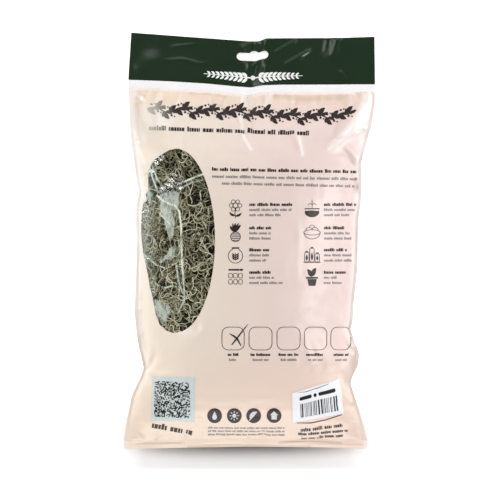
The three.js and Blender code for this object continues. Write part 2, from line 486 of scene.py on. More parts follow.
class BagShape:
    """The filled bag's front and back film, from the end seal to the header's weld."""

    CELL = 5.0  # of the grid that is filled
    CAP = 10.0  # how far filling may move a point
    EMPTY, RISE, FALL = 12, 70, 25  # how far from the end seal filling starts, and how it rises and falls
    FRONT_CELL, BACK_CELL = 1.6, 2.6  # of the finished sheets
    FRONT_SEED, BACK_SEED = 3.0, 11.0  # of their unevenness
    LOWEST = 0.6  # the least height of the laid out film
    CAD_FILM = 0.5  # how thick the CAD model's film is
    WAVY = 0.2  # the share of its length over which the film waves at each end
    BORDER = 6  # how far from its borders the film has its full relief
    NEAR = 0.3  # how far from a row of CAD points a point may be and still be in it

    def __init__(self, film):
        self.half, self.length = film_size(film)
        self.weld = mm(film.weld_width)
        self.columns = round(2 * self.half / self.CELL)
        self.rows = round(self.length / self.CELL)
        front, back = self.laid_out()
        front, back = self.filled(front, back)
        self.fit_outline(front, back)
        across, along = (-self.half, self.half), (0, self.length)
        self.front, self.back = Surface(front, across, along), Surface(back, across, along)
        placed = [Crease(self.front.flat_place(line), *rest) for line, *rest in FRONT_CREASES]
        placed += random_creases(film, self.front)
        behind = random_creases(film, None)
        self.front_sheet = Sheet(self.front, self.FRONT_CELL, partial(self.relief, placed, self.FRONT_SEED))
        self.back_sheet = Sheet(self.back, self.BACK_CELL, partial(self.relief, behind, self.BACK_SEED), -1)

    def relief(self, creases, seed, a, b):
        """How far the film stands out from its smooth surface. It is still at its borders."""
        spot = side_by_side(a, b, np.full_like(a, seed))
        lumps = 0.7 * field(spot, 26, seed) + 0.22 * field(spot, 9, seed)
        border = np.minimum(self.half - np.abs(a), np.minimum(b, self.length - b))
        return (crease_height(creases, a, b) + lumps) * ease(border / self.BORDER)

    def laid_out(self):
        """The two grids as the CAD films lie, within the seen outline."""
        weld, film = (vertices_of(frame["nodes"][node].data) for node in ("left_side_weld", "front_film"))
        rows = np.unique(weld[:, 1].round(1))
        seam = np.array([weld[np.abs(weld[:, 1] - y) < self.NEAR, 2].mean() for y in rows])
        crest = np.array([film[np.abs(film[:, 1] - y) < self.NEAR, 2].max() for y in rows])
        y = np.linspace(rows[0], rows[-1], 400)
        seam, crest = (curve(side_by_side(rows, height), y) for height in (seam, crest))
        arc = arc_lengths(np.diff(y), np.diff(crest))
        row_y = np.interp(np.linspace(0, arc[-1], self.rows + 1), arc, y)
        front = np.zeros((self.rows + 1, self.columns + 1, 3))
        back = front.copy()
        shares = np.linspace(-1, 1, 201)
        for j, here in enumerate(row_y):
            z = np.interp(here, y, seam)
            rise = max(0.0, np.interp(here, y, crest) - z - self.CAD_FILM) if 0 < j < self.rows else 0.0
            left, right = (
                under(np.array([np.interp(here, *np.array(edge).T), here]), z)[0] - side * self.weld
                for side, edge in ((-1, LEFT_EDGE), (1, RIGHT_EDGE))
            )
            along = (here - y[0]) / (y[-1] - y[0])
            for grid, side in ((front, 1), (back, -1)):
                heights = np.maximum(self.LOWEST, z + side * rise * (1 - np.abs(shares) ** 3))
                reach = arc_lengths(np.diff(shares) * (right - left) / 2, np.diff(heights))
                share = np.interp(np.linspace(0, reach[-1], self.columns + 1), reach, shares)
                x = (left + right) / 2 + share * (right - left) / 2
                top, end = curve(NECK_LINE, x), curve(END_LINE, x)
                grid[j, :, 0], grid[j, :, 1] = x, end + (top - end) * along
                wave = curve(NECK_WAVE, x) * ease((along - (1 - self.WAVY)) / self.WAVY)
                wave = wave + curve(END_WAVE, x) * ease(1 - along / self.WAVY)
                grid[j, :, 2] = np.interp(share, shares, heights) + wave
        return front, back

    def filled(self, front, back):
        """The two grids after the film has been filled, as one cloth that is joined along its border."""
        count = front[..., 0].size
        front_ids = np.arange(count).reshape(front.shape[:2])
        back_ids = front_ids.copy()
        inner = back[1:-1, 1:-1]
        back_ids[1:-1, 1:-1] = count + np.arange(inner[..., 0].size).reshape(inner.shape[:2])
        start = np.concatenate([front.reshape(-1, 3), inner.reshape(-1, 3)])
        start[:, 2] += 0.8 * field(start, 16)
        flat = np.zeros_like(start)
        across = np.linspace(-self.half, self.half, self.columns + 1)
        a, b = np.meshgrid(across, np.linspace(0, self.length, self.rows + 1))
        for ids, lift in ((back_ids, -1.0), (front_ids, 1.0)):
            flat[ids.ravel()] = side_by_side(a, b, np.full_like(a, lift)).reshape(-1, 3)
        faces = np.concatenate([quads(front_ids), quads(back_ids, flip=True)]).tolist()
        pins = np.concatenate([front_ids[0], front_ids[-1]]).tolist()
        move = blow_up(start, flat, faces, pins) - start
        move *= np.minimum(1, self.CAP / np.maximum(np.linalg.norm(move, axis=1), 1e-9))[:, None]
        along = flat[:, 1:2]
        rise, fall = ease((along - self.EMPTY) / self.RISE), ease((self.length - along) / self.FALL)
        end = start + move * rise * fall
        return end[front_ids], end[back_ids]

    def fit_outline(self, front, back):
        """Draws the sides in or out, so that the side welds lie on the seen outline, and evens them out."""
        share = np.linspace(-1, 1, self.columns + 1)
        for side, edge in ((-1, LEFT_EDGE), (1, RIGHT_EDGE)):
            border = front[:, 0 if side < 0 else -1].copy()
            y = seen(border)[:, 1]
            line = np.interp(y, *np.array(edge).T)
            x = under(side_by_side(line, y), border[:, 2:])[:, 0] - side * self.weld
            falloff = np.clip(side * share, 0, 1) ** 2.5
            for grid in (front, back):
                grid[..., 0] += (x - border[:, 0])[:, None] * falloff
        near_weld = ease((np.abs(share[1:-1]) - 0.5) / 0.3)[:, None]
        for grid in (front, back, front, back):
            grid[:, 1:-1] += (grid[:, :-2] + grid[:, 2:] - 2 * grid[:, 1:-1]) / 4 * near_weld


# The left side of the clear window as it is seen, from its top down; its right side is half an ellipse.
WINDOW_LEFT = (
    (-70.5, 92.6), (-79, 91), (-86, 87), (-90.5, 84), (-93.8, 81.6), (-97, 77), (-99.6, 71.6), (-101.3, 65),
    (-100.6, 58), (-100, 51.6), (-101, 44), (-102.4, 40), (-105.4, 36), (-106.6, 29), (-107.2, 20),
    (-107.2, 10), (-106.5, 0), (-105.2, -12), (-101.8, -29), (-98.5, -45.7), (-96, -56), (-94.6, -64),
    (-92.5, -74), (-88.5, -84), (-82, -89.8), (-75.5, -92),
)
# Painted glare on the clear film, drawn as pale haze: seen outlines, and how strong it is.
PAINTED_GLARE_PATCHES = (
    (((-90, 45), (-84, 48), (-76, 50), (-70, 48), (-69.5, 38), (-73, 30), (-74, 18), (-76, 3), (-79, 2),
      (-82, 12), (-84, 22), (-89, 32)), 0.52),
    (((-89, -22), (-84, -14), (-78, -8), (-73, -4), (-72, -14), (-79, -18)), 0.5),
    (((-95, -57), (-88, -60), (-80, -64), (-78, -72), (-82, -80), (-89, -83), (-94, -70)), 0.5),
    (((-101, 64), (-99, 52), (-96, 46), (-99, 38), (-102, 42)), 0.5),
)
# Haze along sharp creases, partly real whitening of the creased film and partly a painted glint: seen places,
# half width and strength.
CREASE_HAZE_AND_GLINTS = (
    (((-91, 45), (-85, 40), (-79, 37), (-73, 35), (-69, 29), (-67.5, 16), (-67, 0), (-66.5, -20), (-65, -39)),
     0.75, 1.5),
    (((-70, 57), (-58, 62), (-45, 67)), 0.65, 1.4),
    (((-66, 54), (-56, 58.5), (-46, 61)), 0.6, 0.6),
    (((-99, 74), (-95.5, 62), (-91, 50)), 0.65, 1.2),
    (((-96.5, 76), (-91.5, 62), (-84, 52)), 0.6, 0.9),
    (((-88.5, 27), (-78.5, 17)), 0.6, 1.0),
    (((-65, -39), (-64, -58), (-70, -72)), 0.6, 0.7),
    (((-104, -14), (-92, -24), (-84, -27)), 0.6, 0.7),
    (((-72, -24), (-70, -40), (-66, -52)), 0.6, 0.6),
    (((-93, -43), (-84, -47), (-76, -45)), 0.6, 0.8),
)
# Where the print is lightened as a painted highlight or glare along creases and edges, or below 0 darkened to
# tan as painted shade in a fold: seen places, half width and strength.
FILM_PAINTED_LIGHT = (
    (((-5.5, 147), (-8, 123), (-4.5, 104), (2.6, 91.5)), 1.3, 0.85),
    (((20.5, 149), (18, 138), (17, 129)), 2.4, 0.5),
    (((50, 109), (52, 98), (54.5, 86)), 1.5, 0.75),
    (((126, 148), (108, 117), (86, 93)), 6, 0.45),
    (((123, 148), (118, 128), (112, 112)), 7.5, 0.9),
    (((104, 116), (93, 101), (80, 92)), 1.3, 0.7),
    (((112, 108), (100, 101), (88, 90)), 1.3, 0.6),
    (((119, 128), (115, 119), (112, 106)), 1.4, 0.6),
    (((-119.5, 151), (-104, 141)), 1.5, 0.7),
    (((-118, 142), (-110, 122), (-104, 100)), 2.2, 0.4),
    (((-113, 99), (-104.5, 78)), 1.8, 0.5),
    (((-96, 128), (-84, 124)), 11, 0.35),
    (((-57, 149), (-40, 149), (-24, 145)), 2.6, -0.5),
    (((27, 144.5), (60, 142.5), (98, 144.5)), 2.6, -0.55),
    (((99, 140), (93, 122), (86, 108)), 2.4, -0.35),
    (((-116, 147), (-104, 143)), 2.2, -0.3),
    (((-121, 153), (-80, 151.5), (-43, 149.5), (1.5, 145), (14, 147.5), (30, 148), (127, 148.5)), 1.6, 0.7),
    (((1.5, 148), (0, 134)), 2.6, 0.7),
    (((106, -129), (104, -120), (105, -108)), 5, 0.3),
)
# The same for the end seal: painted highlights at its corners, and painted shade along its folds and lower
# edge.
SEAL_PAINTED_LIGHT = (
    (((-126, -198), (-126, -212)), 6, 0.3),
    (((121, -198), (121, -212)), 6, 0.3),
    (((-104, -202), (-65, -201)), 1.4, -0.4),
    (((31, -202), (60, -199), (92, -202)), 1.6, -0.6),
    (((-60, -206), (-20, -205), (25, -205), (62, -206)), 1.3, -0.7),
)
# Painted highlights along the side welds, palest above the lower notches: seen edge, from and to seen y, and
# strength.
EDGE_PAINTED_HIGHLIGHTS = (
    (LEFT_EDGE, -104, 160, 0.75), (LEFT_EDGE, -201, -80, 0.25),
    (RIGHT_EDGE, -104, 160, 0.5), (RIGHT_EDGE, -201, -80, 0.25),
)
EDGE_HIGHLIGHT_WIDTH = 6.5
# Where the clear film is finely crumpled: seen x, y and reach.
CRUMPLED = (
    (-73, 62, 7), (-80, 55, 5), (-69, 53, 4), (-97, 70, 4), (-105, 30, 5), (-106.5, 20, 3.5), (-103, -18, 4),
    (-97, -52, 4), (-87, 51, 3.5), (-93, 79, 4), (-88, 84, 4),
)


def edge_distance(spots, line):
    """How far spots are from a line, negative where the line goes round them."""
    line = np.array(line, float)
    gap, inside = np.full(len(spots), np.inf), np.zeros(len(spots), bool)
    x, y = spots.T
    for p, q in zip(line[:-1], line[1:]):
        d = q - p
        t = np.clip(((x - p[0]) * d[0] + (y - p[1]) * d[1]) / (d @ d), 0, 1)
        gap = np.minimum(gap, np.hypot(x - p[0] - t * d[0], y - p[1] - t * d[1]))
        if d[1]:
            inside ^= ((p[1] > y) != (q[1] > y)) & (x < p[0] + d[0] * (y - p[1]) / d[1])
    return np.where(inside, -gap, gap)


def streaks(spots, lines):
    """How strongly these lines, each with a half width and a strength, mark seen spots."""
    marks = np.zeros(len(spots))
    for line, width, strength in lines:
        mark = strength * ease(1.5 - np.abs(edge_distance(spots, line)) / width)
        marks = np.where(np.abs(mark) > np.abs(marks), mark, marks)
    return marks


def edge_painted_highlights():
    """The painted highlights along the side welds."""
    return [
        ([(x, y) for y, x in edge if low < y < high], EDGE_HIGHLIGHT_WIDTH, strength)
        for edge, low, high, strength in EDGE_PAINTED_HIGHLIGHTS
    ]


def seen_vertices(piece):
    """Where a piece's vertices are seen."""
    return seen(vertices_of(piece.data))


def write_marks(piece, **marks):
    """Writes a number for each vertex, which the piece's material reads by name."""
    for name, values in marks.items():
        piece.data.attributes.new(name, "FLOAT", "POINT").data.foreach_set("value", values)


def window_outline(window):
    """The clear window's outline as it is seen, closed."""
    x, y = mm(window.seen_x), mm(window.seen_y)
    turns = np.linspace(-math.pi / 2, math.pi / 2, 40)[1:-1]
    across, along = mm(window.half_width), mm(window.half_length)
    right = side_by_side(x + across * np.cos(turns), y + along * np.sin(turns))
    return np.concatenate([WINDOW_LEFT, right, WINDOW_LEFT[:1]])


@cache
def bag_shape():
    """The filled bag's films, worked out once."""
    return BagShape(bpy.context.scene.moss_bag_film)


# ---- Meshes


SMOOTH_BELOW = math.radians(62)  # the largest angle between faces that are shaded as one


def show(name, mesh, slot, node=None):
    """An object at the origin with this mesh; the material slot that it is given is not used. It rides on the
    bag's body, and may show in place of a CAD node."""
    piece = add_object(name, mesh)
    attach(piece, BODY)
    if node:
        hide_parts(node)
    return piece


def make_piece(name, solid, look, slot=None, node=None, smooth=True):
    """Shows a solid of points in millimetres and faces, in this material."""
    points, faces = solid
    mesh = new_mesh(name, (np.asarray(points) * MM).tolist(), [], [list(map(int, face)) for face in faces])
    mesh.validate()
    if smooth:
        mesh.shade_smooth()
        mesh.set_sharp_from_angle(angle=SMOOTH_BELOW)
    mesh.materials.append(material(look))
    return show(name, mesh, slot or look, node)


def wall_faces(faces, offset):
    """The walls between an outer layer of faces and its copy, whose points are offset on."""
    used = {}
    for face in faces:
        for p, q in zip(face, (*face[1:], face[0])):
            used[(p, q)] = used.get((p, q), 0) + 1
    return [(q, p, p + offset, q + offset) for p, q in used if (q, p) not in used]


def corners_of(faces):
    """The numbers of the points that are corners of these faces."""
    return np.unique(np.concatenate([np.ravel(face) for face in faces]))


def thin_solid(outer, inner, faces):
    """Points and faces of a closed thin solid, from its outer layer and the points opposite it."""
    outer, inner, kept = outer.reshape(-1, 3), inner.reshape(-1, 3), corners_of(faces)
    number = np.full(len(outer), -1)
    number[kept] = np.arange(len(kept))
    top = [tuple(number[list(f)]) for f in faces]
    bottom = [tuple(i + len(kept) for i in reversed(f)) for f in top]
    return np.concatenate([outer[kept], inner[kept]]), top + bottom + wall_faces(top, len(kept))


def grid_faces(rows, columns, flip=False):
    """The faces of a grid of points, row by row."""
    return quads(np.arange(rows * columns).reshape(rows, columns), flip).tolist()


def film_solid(sheet, a, b, faces, thickness):
    """A closed solid of film whose outer faces lie on a sheet, over a grid of flat places."""
    return thin_solid(sheet.on(a, b, 0), sheet.on(a, b, -thickness), faces)


SPLIT_ROUNDS, SPLIT_STEP = 4, 0.01  # of moving corners onto a line, and the step that finds the way there


def split_grid(a, b, level):
    """Moves the nearest corners of a grid onto the line where level is 0. Gives the moved flat places, and
    the faces where level is below 0 and above it."""
    a, b = a.copy(), b.copy()
    value = level(a, b)
    mark = np.zeros(a.shape, bool)
    for near, far in (((slice(None), slice(0, -1)), (slice(None), slice(1, None))),
                      ((slice(0, -1), slice(None)), (slice(1, None), slice(None)))):
        crossing = value[near] * value[far] < 0
        first = np.abs(value[near]) <= np.abs(value[far])
        mark[near] |= crossing & first
        mark[far] |= crossing & ~first
    x, y = a[mark], b[mark]
    for _ in range(SPLIT_ROUNDS):
        v = level(x, y)
        dx, dy = (level(x + SPLIT_STEP, y) - v) / SPLIT_STEP, (level(x, y + SPLIT_STEP) - v) / SPLIT_STEP
        size = np.maximum(dx**2 + dy**2, 1e-9)
        x, y = x - v * dx / size, y - v * dy / size
    a[mark], b[mark] = x, y
    sign = np.where(mark, 0, np.sign(value)).ravel()
    inside, outside = [], []
    for cell in grid_faces(*a.shape):
        signs = sign[cell]
        if signs.min() < 0 < signs.max():
            turn = 0 if signs[0] == 0 else 1
            p, q, r, s = cell[turn:] + cell[:turn]
            for face in ((p, q, r), (p, r, s)):
                (inside if sign[list(face)].sum() < 0 else outside).append(face)
        else:
            (inside if signs.sum() < 0 else outside).append(tuple(cell))
    return a, b, inside, outside


# ---- Materials


class Value:
    """A number that changes over a surface, with Python's operators."""

    def __init__(self, shader, socket):
        self.shader, self.socket = shader, socket

    def maths(self, operation, *numbers):
        return self.shader.node("ShaderNodeMath", {"operation": operation}, dict(enumerate(numbers)))

    def __add__(self, other):
        return self.maths("ADD", self, other)

    __radd__ = __add__

    def __sub__(self, other):
        return self.maths("SUBTRACT", self, other)

    def __rsub__(self, other):
        return self.maths("SUBTRACT", other, self)

    def __mul__(self, other):
        return self.maths("MULTIPLY", self, other)

    __rmul__ = __mul__

    def clamp(self, low=0.0, high=1.0):
        return self.maths("MINIMUM", self.maths("MAXIMUM", self, low), high)

    def between(self, low, high):
        """Rises from 0 to 1 as this goes from low to high."""
        return self.shader.node(
            "ShaderNodeMapRange",
            {"interpolation_type": "SMOOTHSTEP"},
            {"Value": self, "From Min": low, "From Max": high},
        )


class Shader:
    """A material under construction."""

    def __init__(self, name):
        self.material = bpy.data.materials.new(name)
        self.material.use_nodes = True
        self.tree = self.material.node_tree
        self.tree.nodes.clear()
        self.place = self.node("ShaderNodeTexCoord", output="Object")

    def node(self, kind, settings=None, inputs=None, output=0):
        """A node of this kind, with its settings, and values or links for its sockets; gives one output."""
        node = self.tree.nodes.new(kind)
        for key, setting in (settings or {}).items():
            if key == "stops":
                ramp = node.color_ramp.elements
                while len(ramp) < len(setting):
                    ramp.new(0.5)
                for element, (position, colour) in zip(ramp, setting):
                    element.position, element.color = position, colour
            else:
                setattr(node, key, setting)
        for key, value in (inputs or {}).items():
            if isinstance(value, Value):
                self.tree.links.new(value.socket, node.inputs[key])
            else:
                node.inputs[key].default_value = value
        return Value(self, node.outputs[output])

    def axis(self, name):
        """The piece's own X, Y or Z in metres."""
        return self.node("ShaderNodeSeparateXYZ", None, {"Vector": self.place}, output=name)

    def mark(self, name):
        """A number that was written for each vertex."""
        return self.node("ShaderNodeAttribute", {"attribute_name": name}, output="Fac")

    def scaled(self, size, stretch):
        """Where a pattern with lumps of this size is read, and its scale."""
        spot = self.node("ShaderNodeMapping", None, {"Vector": self.place, "Scale": stretch}, output="Vector")
        return {"Vector": spot, "Scale": 1 / size}

    def noise(self, size, detail=2.0, roughness=0.5, stretch=(1, 1, 1), distortion=0.0):
        """Noise from 0 to 1 with lumps of this size in metres."""
        kind = {"Detail": detail, "Roughness": roughness, "Distortion": distortion}
        return self.node("ShaderNodeTexNoise", None, self.scaled(size, stretch) | kind)

    def facets(self, size, stretch=(1, 1, 1)):
        """The distance in a Voronoi pattern with cells of this size in metres."""
        return self.node("ShaderNodeTexVoronoi", {"feature": "F1"}, self.scaled(size, stretch), "Distance")

    def mix(self, factor, first, second, blend="MIX"):
        """Two colours, mixed."""
        settings = {"data_type": "RGBA", "blend_type": blend}
        return self.node("ShaderNodeMix", settings, {0: factor, 6: first, 7: second}, 2)

    def bump(self, height, distance, strength):
        """The normal of a surface with these heights."""
        inputs = {"Height": height, "Distance": distance, "Strength": strength}
        return self.node("ShaderNodeBump", None, inputs, "Normal")

    def principled(self, **inputs):
        """A Principled BSDF, with an underscore for each space in its sockets' names."""
        named = {key.replace("_", " "): value for key, value in inputs.items()}
        return self.node("ShaderNodeBsdfPrincipled", None, named, "BSDF")

    def painted(self, **inputs):
        """The material with a Principled BSDF for its surface."""
        return self.finish(self.principled(**inputs))

    def finish(self, surface):
        """The material with this surface."""
        out = self.tree.nodes.new("ShaderNodeOutputMaterial")
        self.tree.links.new(surface.socket, out.inputs["Surface"])
        return self.material


def rgba(colour):
    """An opaque colour."""
    return (*colour, 1.0)


WELD_LINES = 2200  # of the white weld: how many radians of its cross lines there are in a metre


def printed_film_material(film):
    """Satin printed film with fine wrinkles, cream on the left and pinker to the right as a painted tint of
    the light, with painted highlights and painted shade in folds where it is marked.
    """
    shader = Shader("printed_film")
    x = shader.axis("X")
    drift = shader.noise(0.12, 1.0)
    # Painted light tint: the print runs from cream at the left to pinker at the right, standing in for warmer
    # light on the left and pinker light on the right.
    ink = shader.mix((x + drift * 0.05).between(-0.075, 0.14), rgba(film.left_ink_and_light_tint), rgba(film.right_ink_and_light_tint))
    y = shader.axis("Y")
    peach = (drift * 0.08 - y).between(0.12, 0.22) * 0.6 + y.between(0.12, 0.148) * 0.6
    ink = shader.mix(peach, ink, rgba(film.ink_low))
    mottle = shader.noise(0.02, 3.0)
    ink = shader.mix(mottle * 0.06, ink, (0.62, 0.5, 0.42, 1.0), "MULTIPLY")
    # Painted light: the mark lightens the print to a painted highlight above 0, and darkens it to painted
    # fold shade below 0.
    streak = shader.mark("streak")
    ink = shader.mix(streak.clamp(), ink, rgba(film.painted_highlight_tint))
    ink = shader.mix((streak * -1).clamp(), ink, rgba(film.painted_fold_shade_tint))
    wrinkles = shader.noise(0.006, 3.0, 0.6) * 0.6 + shader.noise(0.02, 2.0, 0.5, (1, 0.5, 1)) * 0.5
    roughness = shader.noise(0.03, 2.0) * 0.12 + film.roughness
    normal = shader.bump(wrinkles, 0.0006, 0.35)
    coat = y.between(0.085, 0.125) * 0.4 + 0.1
    gloss = {"Coat_Weight": coat, "Coat_Roughness": 0.09}
    return shader.painted(Base_Color=ink, Roughness=roughness, Normal=normal, **gloss)


def clear_film_material(window):
    """Clear crinkled film: a mirror that is mostly see-through, and pale where it is marked, with real haze
    and painted glints along creases, painted glare in patches and a painted sheen at its left edge.
    """
    shader = Shader("clear_film")
    haze, crumpled = shader.mark("haze"), shader.mark("crumpled")
    crumple = shader.noise(0.012, 1.0, 0.4, (1, 0.6, 1), 1.4) * crumpled * 2.4
    facets = shader.facets(0.012, (1, 0.7, 1)) * 0.4 + crumple
    normal = shader.bump(facets + shader.noise(0.01, 2.0) * 0.4, 0.0022, 0.5)
    mottled_haze_and_glare = haze * (shader.noise(0.007, 4.0, 0.7, (1, 0.55, 1)).between(0.33, 0.6) * 1.15 + 0.1)
    # Painted sheen: the clear film is paler towards its left edge, standing in for its reflection there.
    left_edge_painted_sheen = (1 - shader.axis("X").between(-0.108, -0.086)) * 0.14
    gloss = shader.node("ShaderNodeFresnel", None, {"IOR": 1.5, "Normal": normal})
    bright, pale = (0.95, 0.97, 0.94, 1.0), (0.70, 0.77, 0.67, 1.0)
    mirror = shader.principled(Base_Color=bright, Metallic=1.0, Roughness=0.09, Normal=normal)
    # A pale surface that shows the haze, the painted glare and the painted sheen.
    haze_and_glare = shader.principled(Base_Color=pale, Roughness=0.4, Normal=normal)
    clear = shader.node("ShaderNodeBsdfTransparent")
    shine, share = (gloss * (crumpled * 1.8 + 0.008)).clamp(), (mottled_haze_and_glare * 0.7 + left_edge_painted_sheen + window.haze).clamp()
    film = shader.node("ShaderNodeMixShader", None, {0: shine, 1: clear, 2: mirror})
    return shader.finish(shader.node("ShaderNodeMixShader", None, {0: share, 1: film, 2: haze_and_glare}))


def weld_material():
    """White film sealed to film, with the fine cross lines that the sealing bar leaves."""
    shader = Shader("header_weld")
    x, y = shader.axis("X"), shader.axis("Y")
    ridges = x.maths("SINE", x * WELD_LINES) * y.maths("SINE", y * WELD_LINES)
    body = shader.mix(shader.noise(0.02, 2.0) * 0.06, (0.98, 0.98, 1.0, 1.0), (0.7, 0.62, 0.56, 1.0))
    normal = shader.bump(ridges + shader.noise(0.008, 2.0) * 2, 0.0002, 0.5)
    return shader.painted(Base_Color=body, Roughness=0.24, Normal=normal)


def header_material(header):
    """Glossy dark green film with long shallow wrinkles."""
    shader = Shader("header_film")
    green = shader.mix(shader.noise(0.05, 2.0), rgba(header.colour), rgba([c * 0.72 for c in header.colour]))
    wrinkles = shader.noise(0.03, 2.0, 0.5, (1, 0.6, 1)) + shader.facets(0.03, (0.7, 1, 1)) * 0.4
    normal = shader.bump(wrinkles, 0.002, 0.35)
    roughness = shader.noise(0.02, 2.0) * 0.08 + 0.16
    return shader.painted(Base_Color=green, Roughness=roughness, Normal=normal)


def ink_material(name, colour, roughness=0.42):
    """Ink under the film's own gloss, a little uneven. The dark ink's title is lightened at its left end as
    painted glare.
    """
    shader = Shader(name)
    lighter = [min(1, c * 1.25 + 0.01) for c in colour]
    tone = shader.mix(shader.noise(0.004, 2.0), rgba(colour), rgba(lighter))
    if name == "dark_ink":
        ragged = shader.axis("X") + shader.noise(0.01) * 0.01
        # Painted glare: the title's left end is lightened.
        painted_glare_on_title = (1 - ragged.between(-0.096, -0.066)) * shader.axis("Y").between(0.1, 0.105)
        tone = shader.mix(painted_glare_on_title * 0.75, tone, (0.66, 0.62, 0.55, 1.0))
    gloss = {"Specular_IOR_Level": 0.25, "Coat_Weight": 0.06, "Coat_Roughness": 0.12}
    return shader.painted(Base_Color=tone, Roughness=roughness, **gloss)


def moss_material(moss):
    """Dry strands from olive to pale tan, each with its own tone, palest at the lower left through a painted
    sheen.
    """
    shader = Shader("dried_moss")
    own = shader.mark("tone")
    scales = shader.noise(0.0016, 2.0, 0.7)
    # Painted sheen: the strands are lightened towards the lower left, standing in for the film's reflection
    # over them.
    lower_left_painted_sheen = (1 - shader.axis("X").between(-0.108, -0.076)) * 0.16
    lower_left_painted_sheen += (1 - shader.axis("Y").between(-0.07, -0.03)) * 0.14
    tone = (own * 0.9 + shader.noise(0.006, 3.0) * 0.4 + lower_left_painted_sheen - 0.2).clamp()
    stops = zip((0.0, 0.38, 0.72, 1.0), map(rgba, (moss.dark, moss.olive, moss.tan, moss.pale)))
    colour = shader.node("ShaderNodeValToRGB", {"stops": list(stops)}, {"Fac": tone})
    colour = shader.mix(scales * 0.3, colour, (0.42, 0.40, 0.30, 1.0), "MULTIPLY")
    normal = shader.bump(scales, 0.0003, 0.5)
    dry_look = {"Roughness": 0.85, "Specular_IOR_Level": 0.15}
    return shader.painted(Base_Color=colour, Normal=normal, **dry_look)


# Inks and paper with a colour of their own: that colour, and their roughness.
INKS = {
    "black_ink": ((0.012, 0.011, 0.012), 0.45),
    "white_ink": ((0.9, 0.91, 0.89), 0.3),
    "panel_ink": ((0.57, 0.63, 0.615), 0.32),
    "sign_ink": ((0.64, 0.61, 0.60), 0.4),
    "label_paper": ((0.86, 0.875, 0.93), 0.55),
}


@cache
def material(name):
    """The material of this name, made when it is first asked for."""
    scene = bpy.context.scene
    ink = scene.moss_bag_print.ink
    if name in INKS:
        return ink_material(name, *INKS[name])
    if name == "dark_ink":
        return ink_material(name, ink)
    if name == "grey_ink":
        return ink_material(name, [c * 2.2 + 0.22 for c in ink])
    makers = {
        "printed_film": lambda: printed_film_material(scene.moss_bag_film),
        "clear_film": lambda: clear_film_material(scene.moss_bag_window),
        "header_film": lambda: header_material(scene.moss_bag_header),
        "header_weld": weld_material,
        "dried_moss": lambda: moss_material(scene.moss_bag_moss),
    }
    return makers[name]()


# ---- Settings


def length(name, text, default, low=0.0):
    """A size or place in metres."""
    return FloatProperty(name=name, description=text, default=default, min=low, unit="LENGTH")


def tint(name, text, default):
    """A colour."""
    return FloatVectorProperty(name=name, description=text, default=default, min=0, max=1, subtype="COLOR")


def power(name, text, default):
    """The power of a light in watts."""
    return FloatProperty(name=name, description=text, default=default, min=0, unit="POWER")


def factor(name, text, default):
    """A share from 0 to 1."""
    return FloatProperty(name=name, description=text, default=default, min=0, max=1, subtype="FACTOR")


def whole(name, text, default):
    """A count or a seed."""
    return IntProperty(name=name, description=text, default=default, min=0)


class StageSettings(bpy.types.PropertyGroup):
    """Camera, floor and lights."""

    left_power: power("Left Light", "Power of the left softbox", 12.4)
    right_power: power("Right Light", "Power of the right softbox", 13.5)
    top_power: power("Top Light", "Power beyond the header", 2.4)
    back_power: power("Back Lights", "Power of each strip behind the header", 2.2)
    fill_power: power("Fill Light", "Power below the end seal", 8.5)
    floor_colour: tint("Floor", "Colour of the floor", (0.98, 0.98, 0.98))
    floor_glow: factor("Floor Glow", "Light from below the white floor, but not near the end seal", 0.6)
    world_light: factor("World Light", "Strength of the even light from all sides", 0.16)


class FilmSettings(bpy.types.PropertyGroup):
    """The bag's printed film."""

    flat_width: length("Flat Width", "Width of the empty flat bag", 0.246)
    flat_length: length("Flat Length", "Length of film from the end seal to the header's weld", 0.398)
    weld_width: length("Side Weld", "Width of each side weld", 0.0025)
    thickness: length("Thickness", "Thickness of the film as drawn", 0.0002)
    roughness: factor("Roughness", "Least roughness of the print", 0.32)
    # Print colours that also carry a painted tint of the light: warmer at the left, pinker at the right.
    left_ink_and_light_tint: tint("Left Print", "Colour of the print at the left", (0.86, 0.755, 0.64))
    right_ink_and_light_tint: tint("Right Print", "Colour of the print at the right", (0.84, 0.665, 0.635))
    ink_low: tint("Lower Print", "Colour of the print near the end seal", (0.95, 0.74, 0.58))
    # Colours of the painted highlights, and of the painted shade in folds.
    painted_highlight_tint: tint("Worn Print", "Colour of the print where it is stretched", (1.0, 0.94, 0.90))
    painted_fold_shade_tint: tint("Folded Print", "Colour of the print in a fold", (0.70, 0.54, 0.40))
    seed: whole("Seed", "Seed of the film's random creases", 7)


class WindowSettings(bpy.types.PropertyGroup):
    """The clear oval in the front film."""

    seen_x: length("X", "Where the middle of the oval is seen", -0.0725, -1)
    seen_y: length("Y", "Where the middle of the oval is seen", 0.0005, -1)
    half_width: length("Half Width", "Half the oval's width as seen", 0.039)
    half_length: length("Half Length", "Half the oval's length as seen", 0.092)
    haze: factor("Haze", "Least share of the film that isn't clear", 0.004)


class HeaderSettings(bpy.types.PropertyGroup):
    """The hang header."""

    length: length("Length", "Length of film from the weld's lower edge to the top", 0.058)
    weld_length: length("Weld", "Width of the white weld", 0.0068)
    colour: tint("Colour", "Colour of the header's print", (0.0125, 0.032, 0.0135))


class PrintSettings(bpy.types.PropertyGroup):
    """What is printed on the film."""

    ink: tint("Ink", "Colour of the dark print", (0.022, 0.012, 0.011))
    lift: length("Lift", "Height of the print above the film", 0.00018)


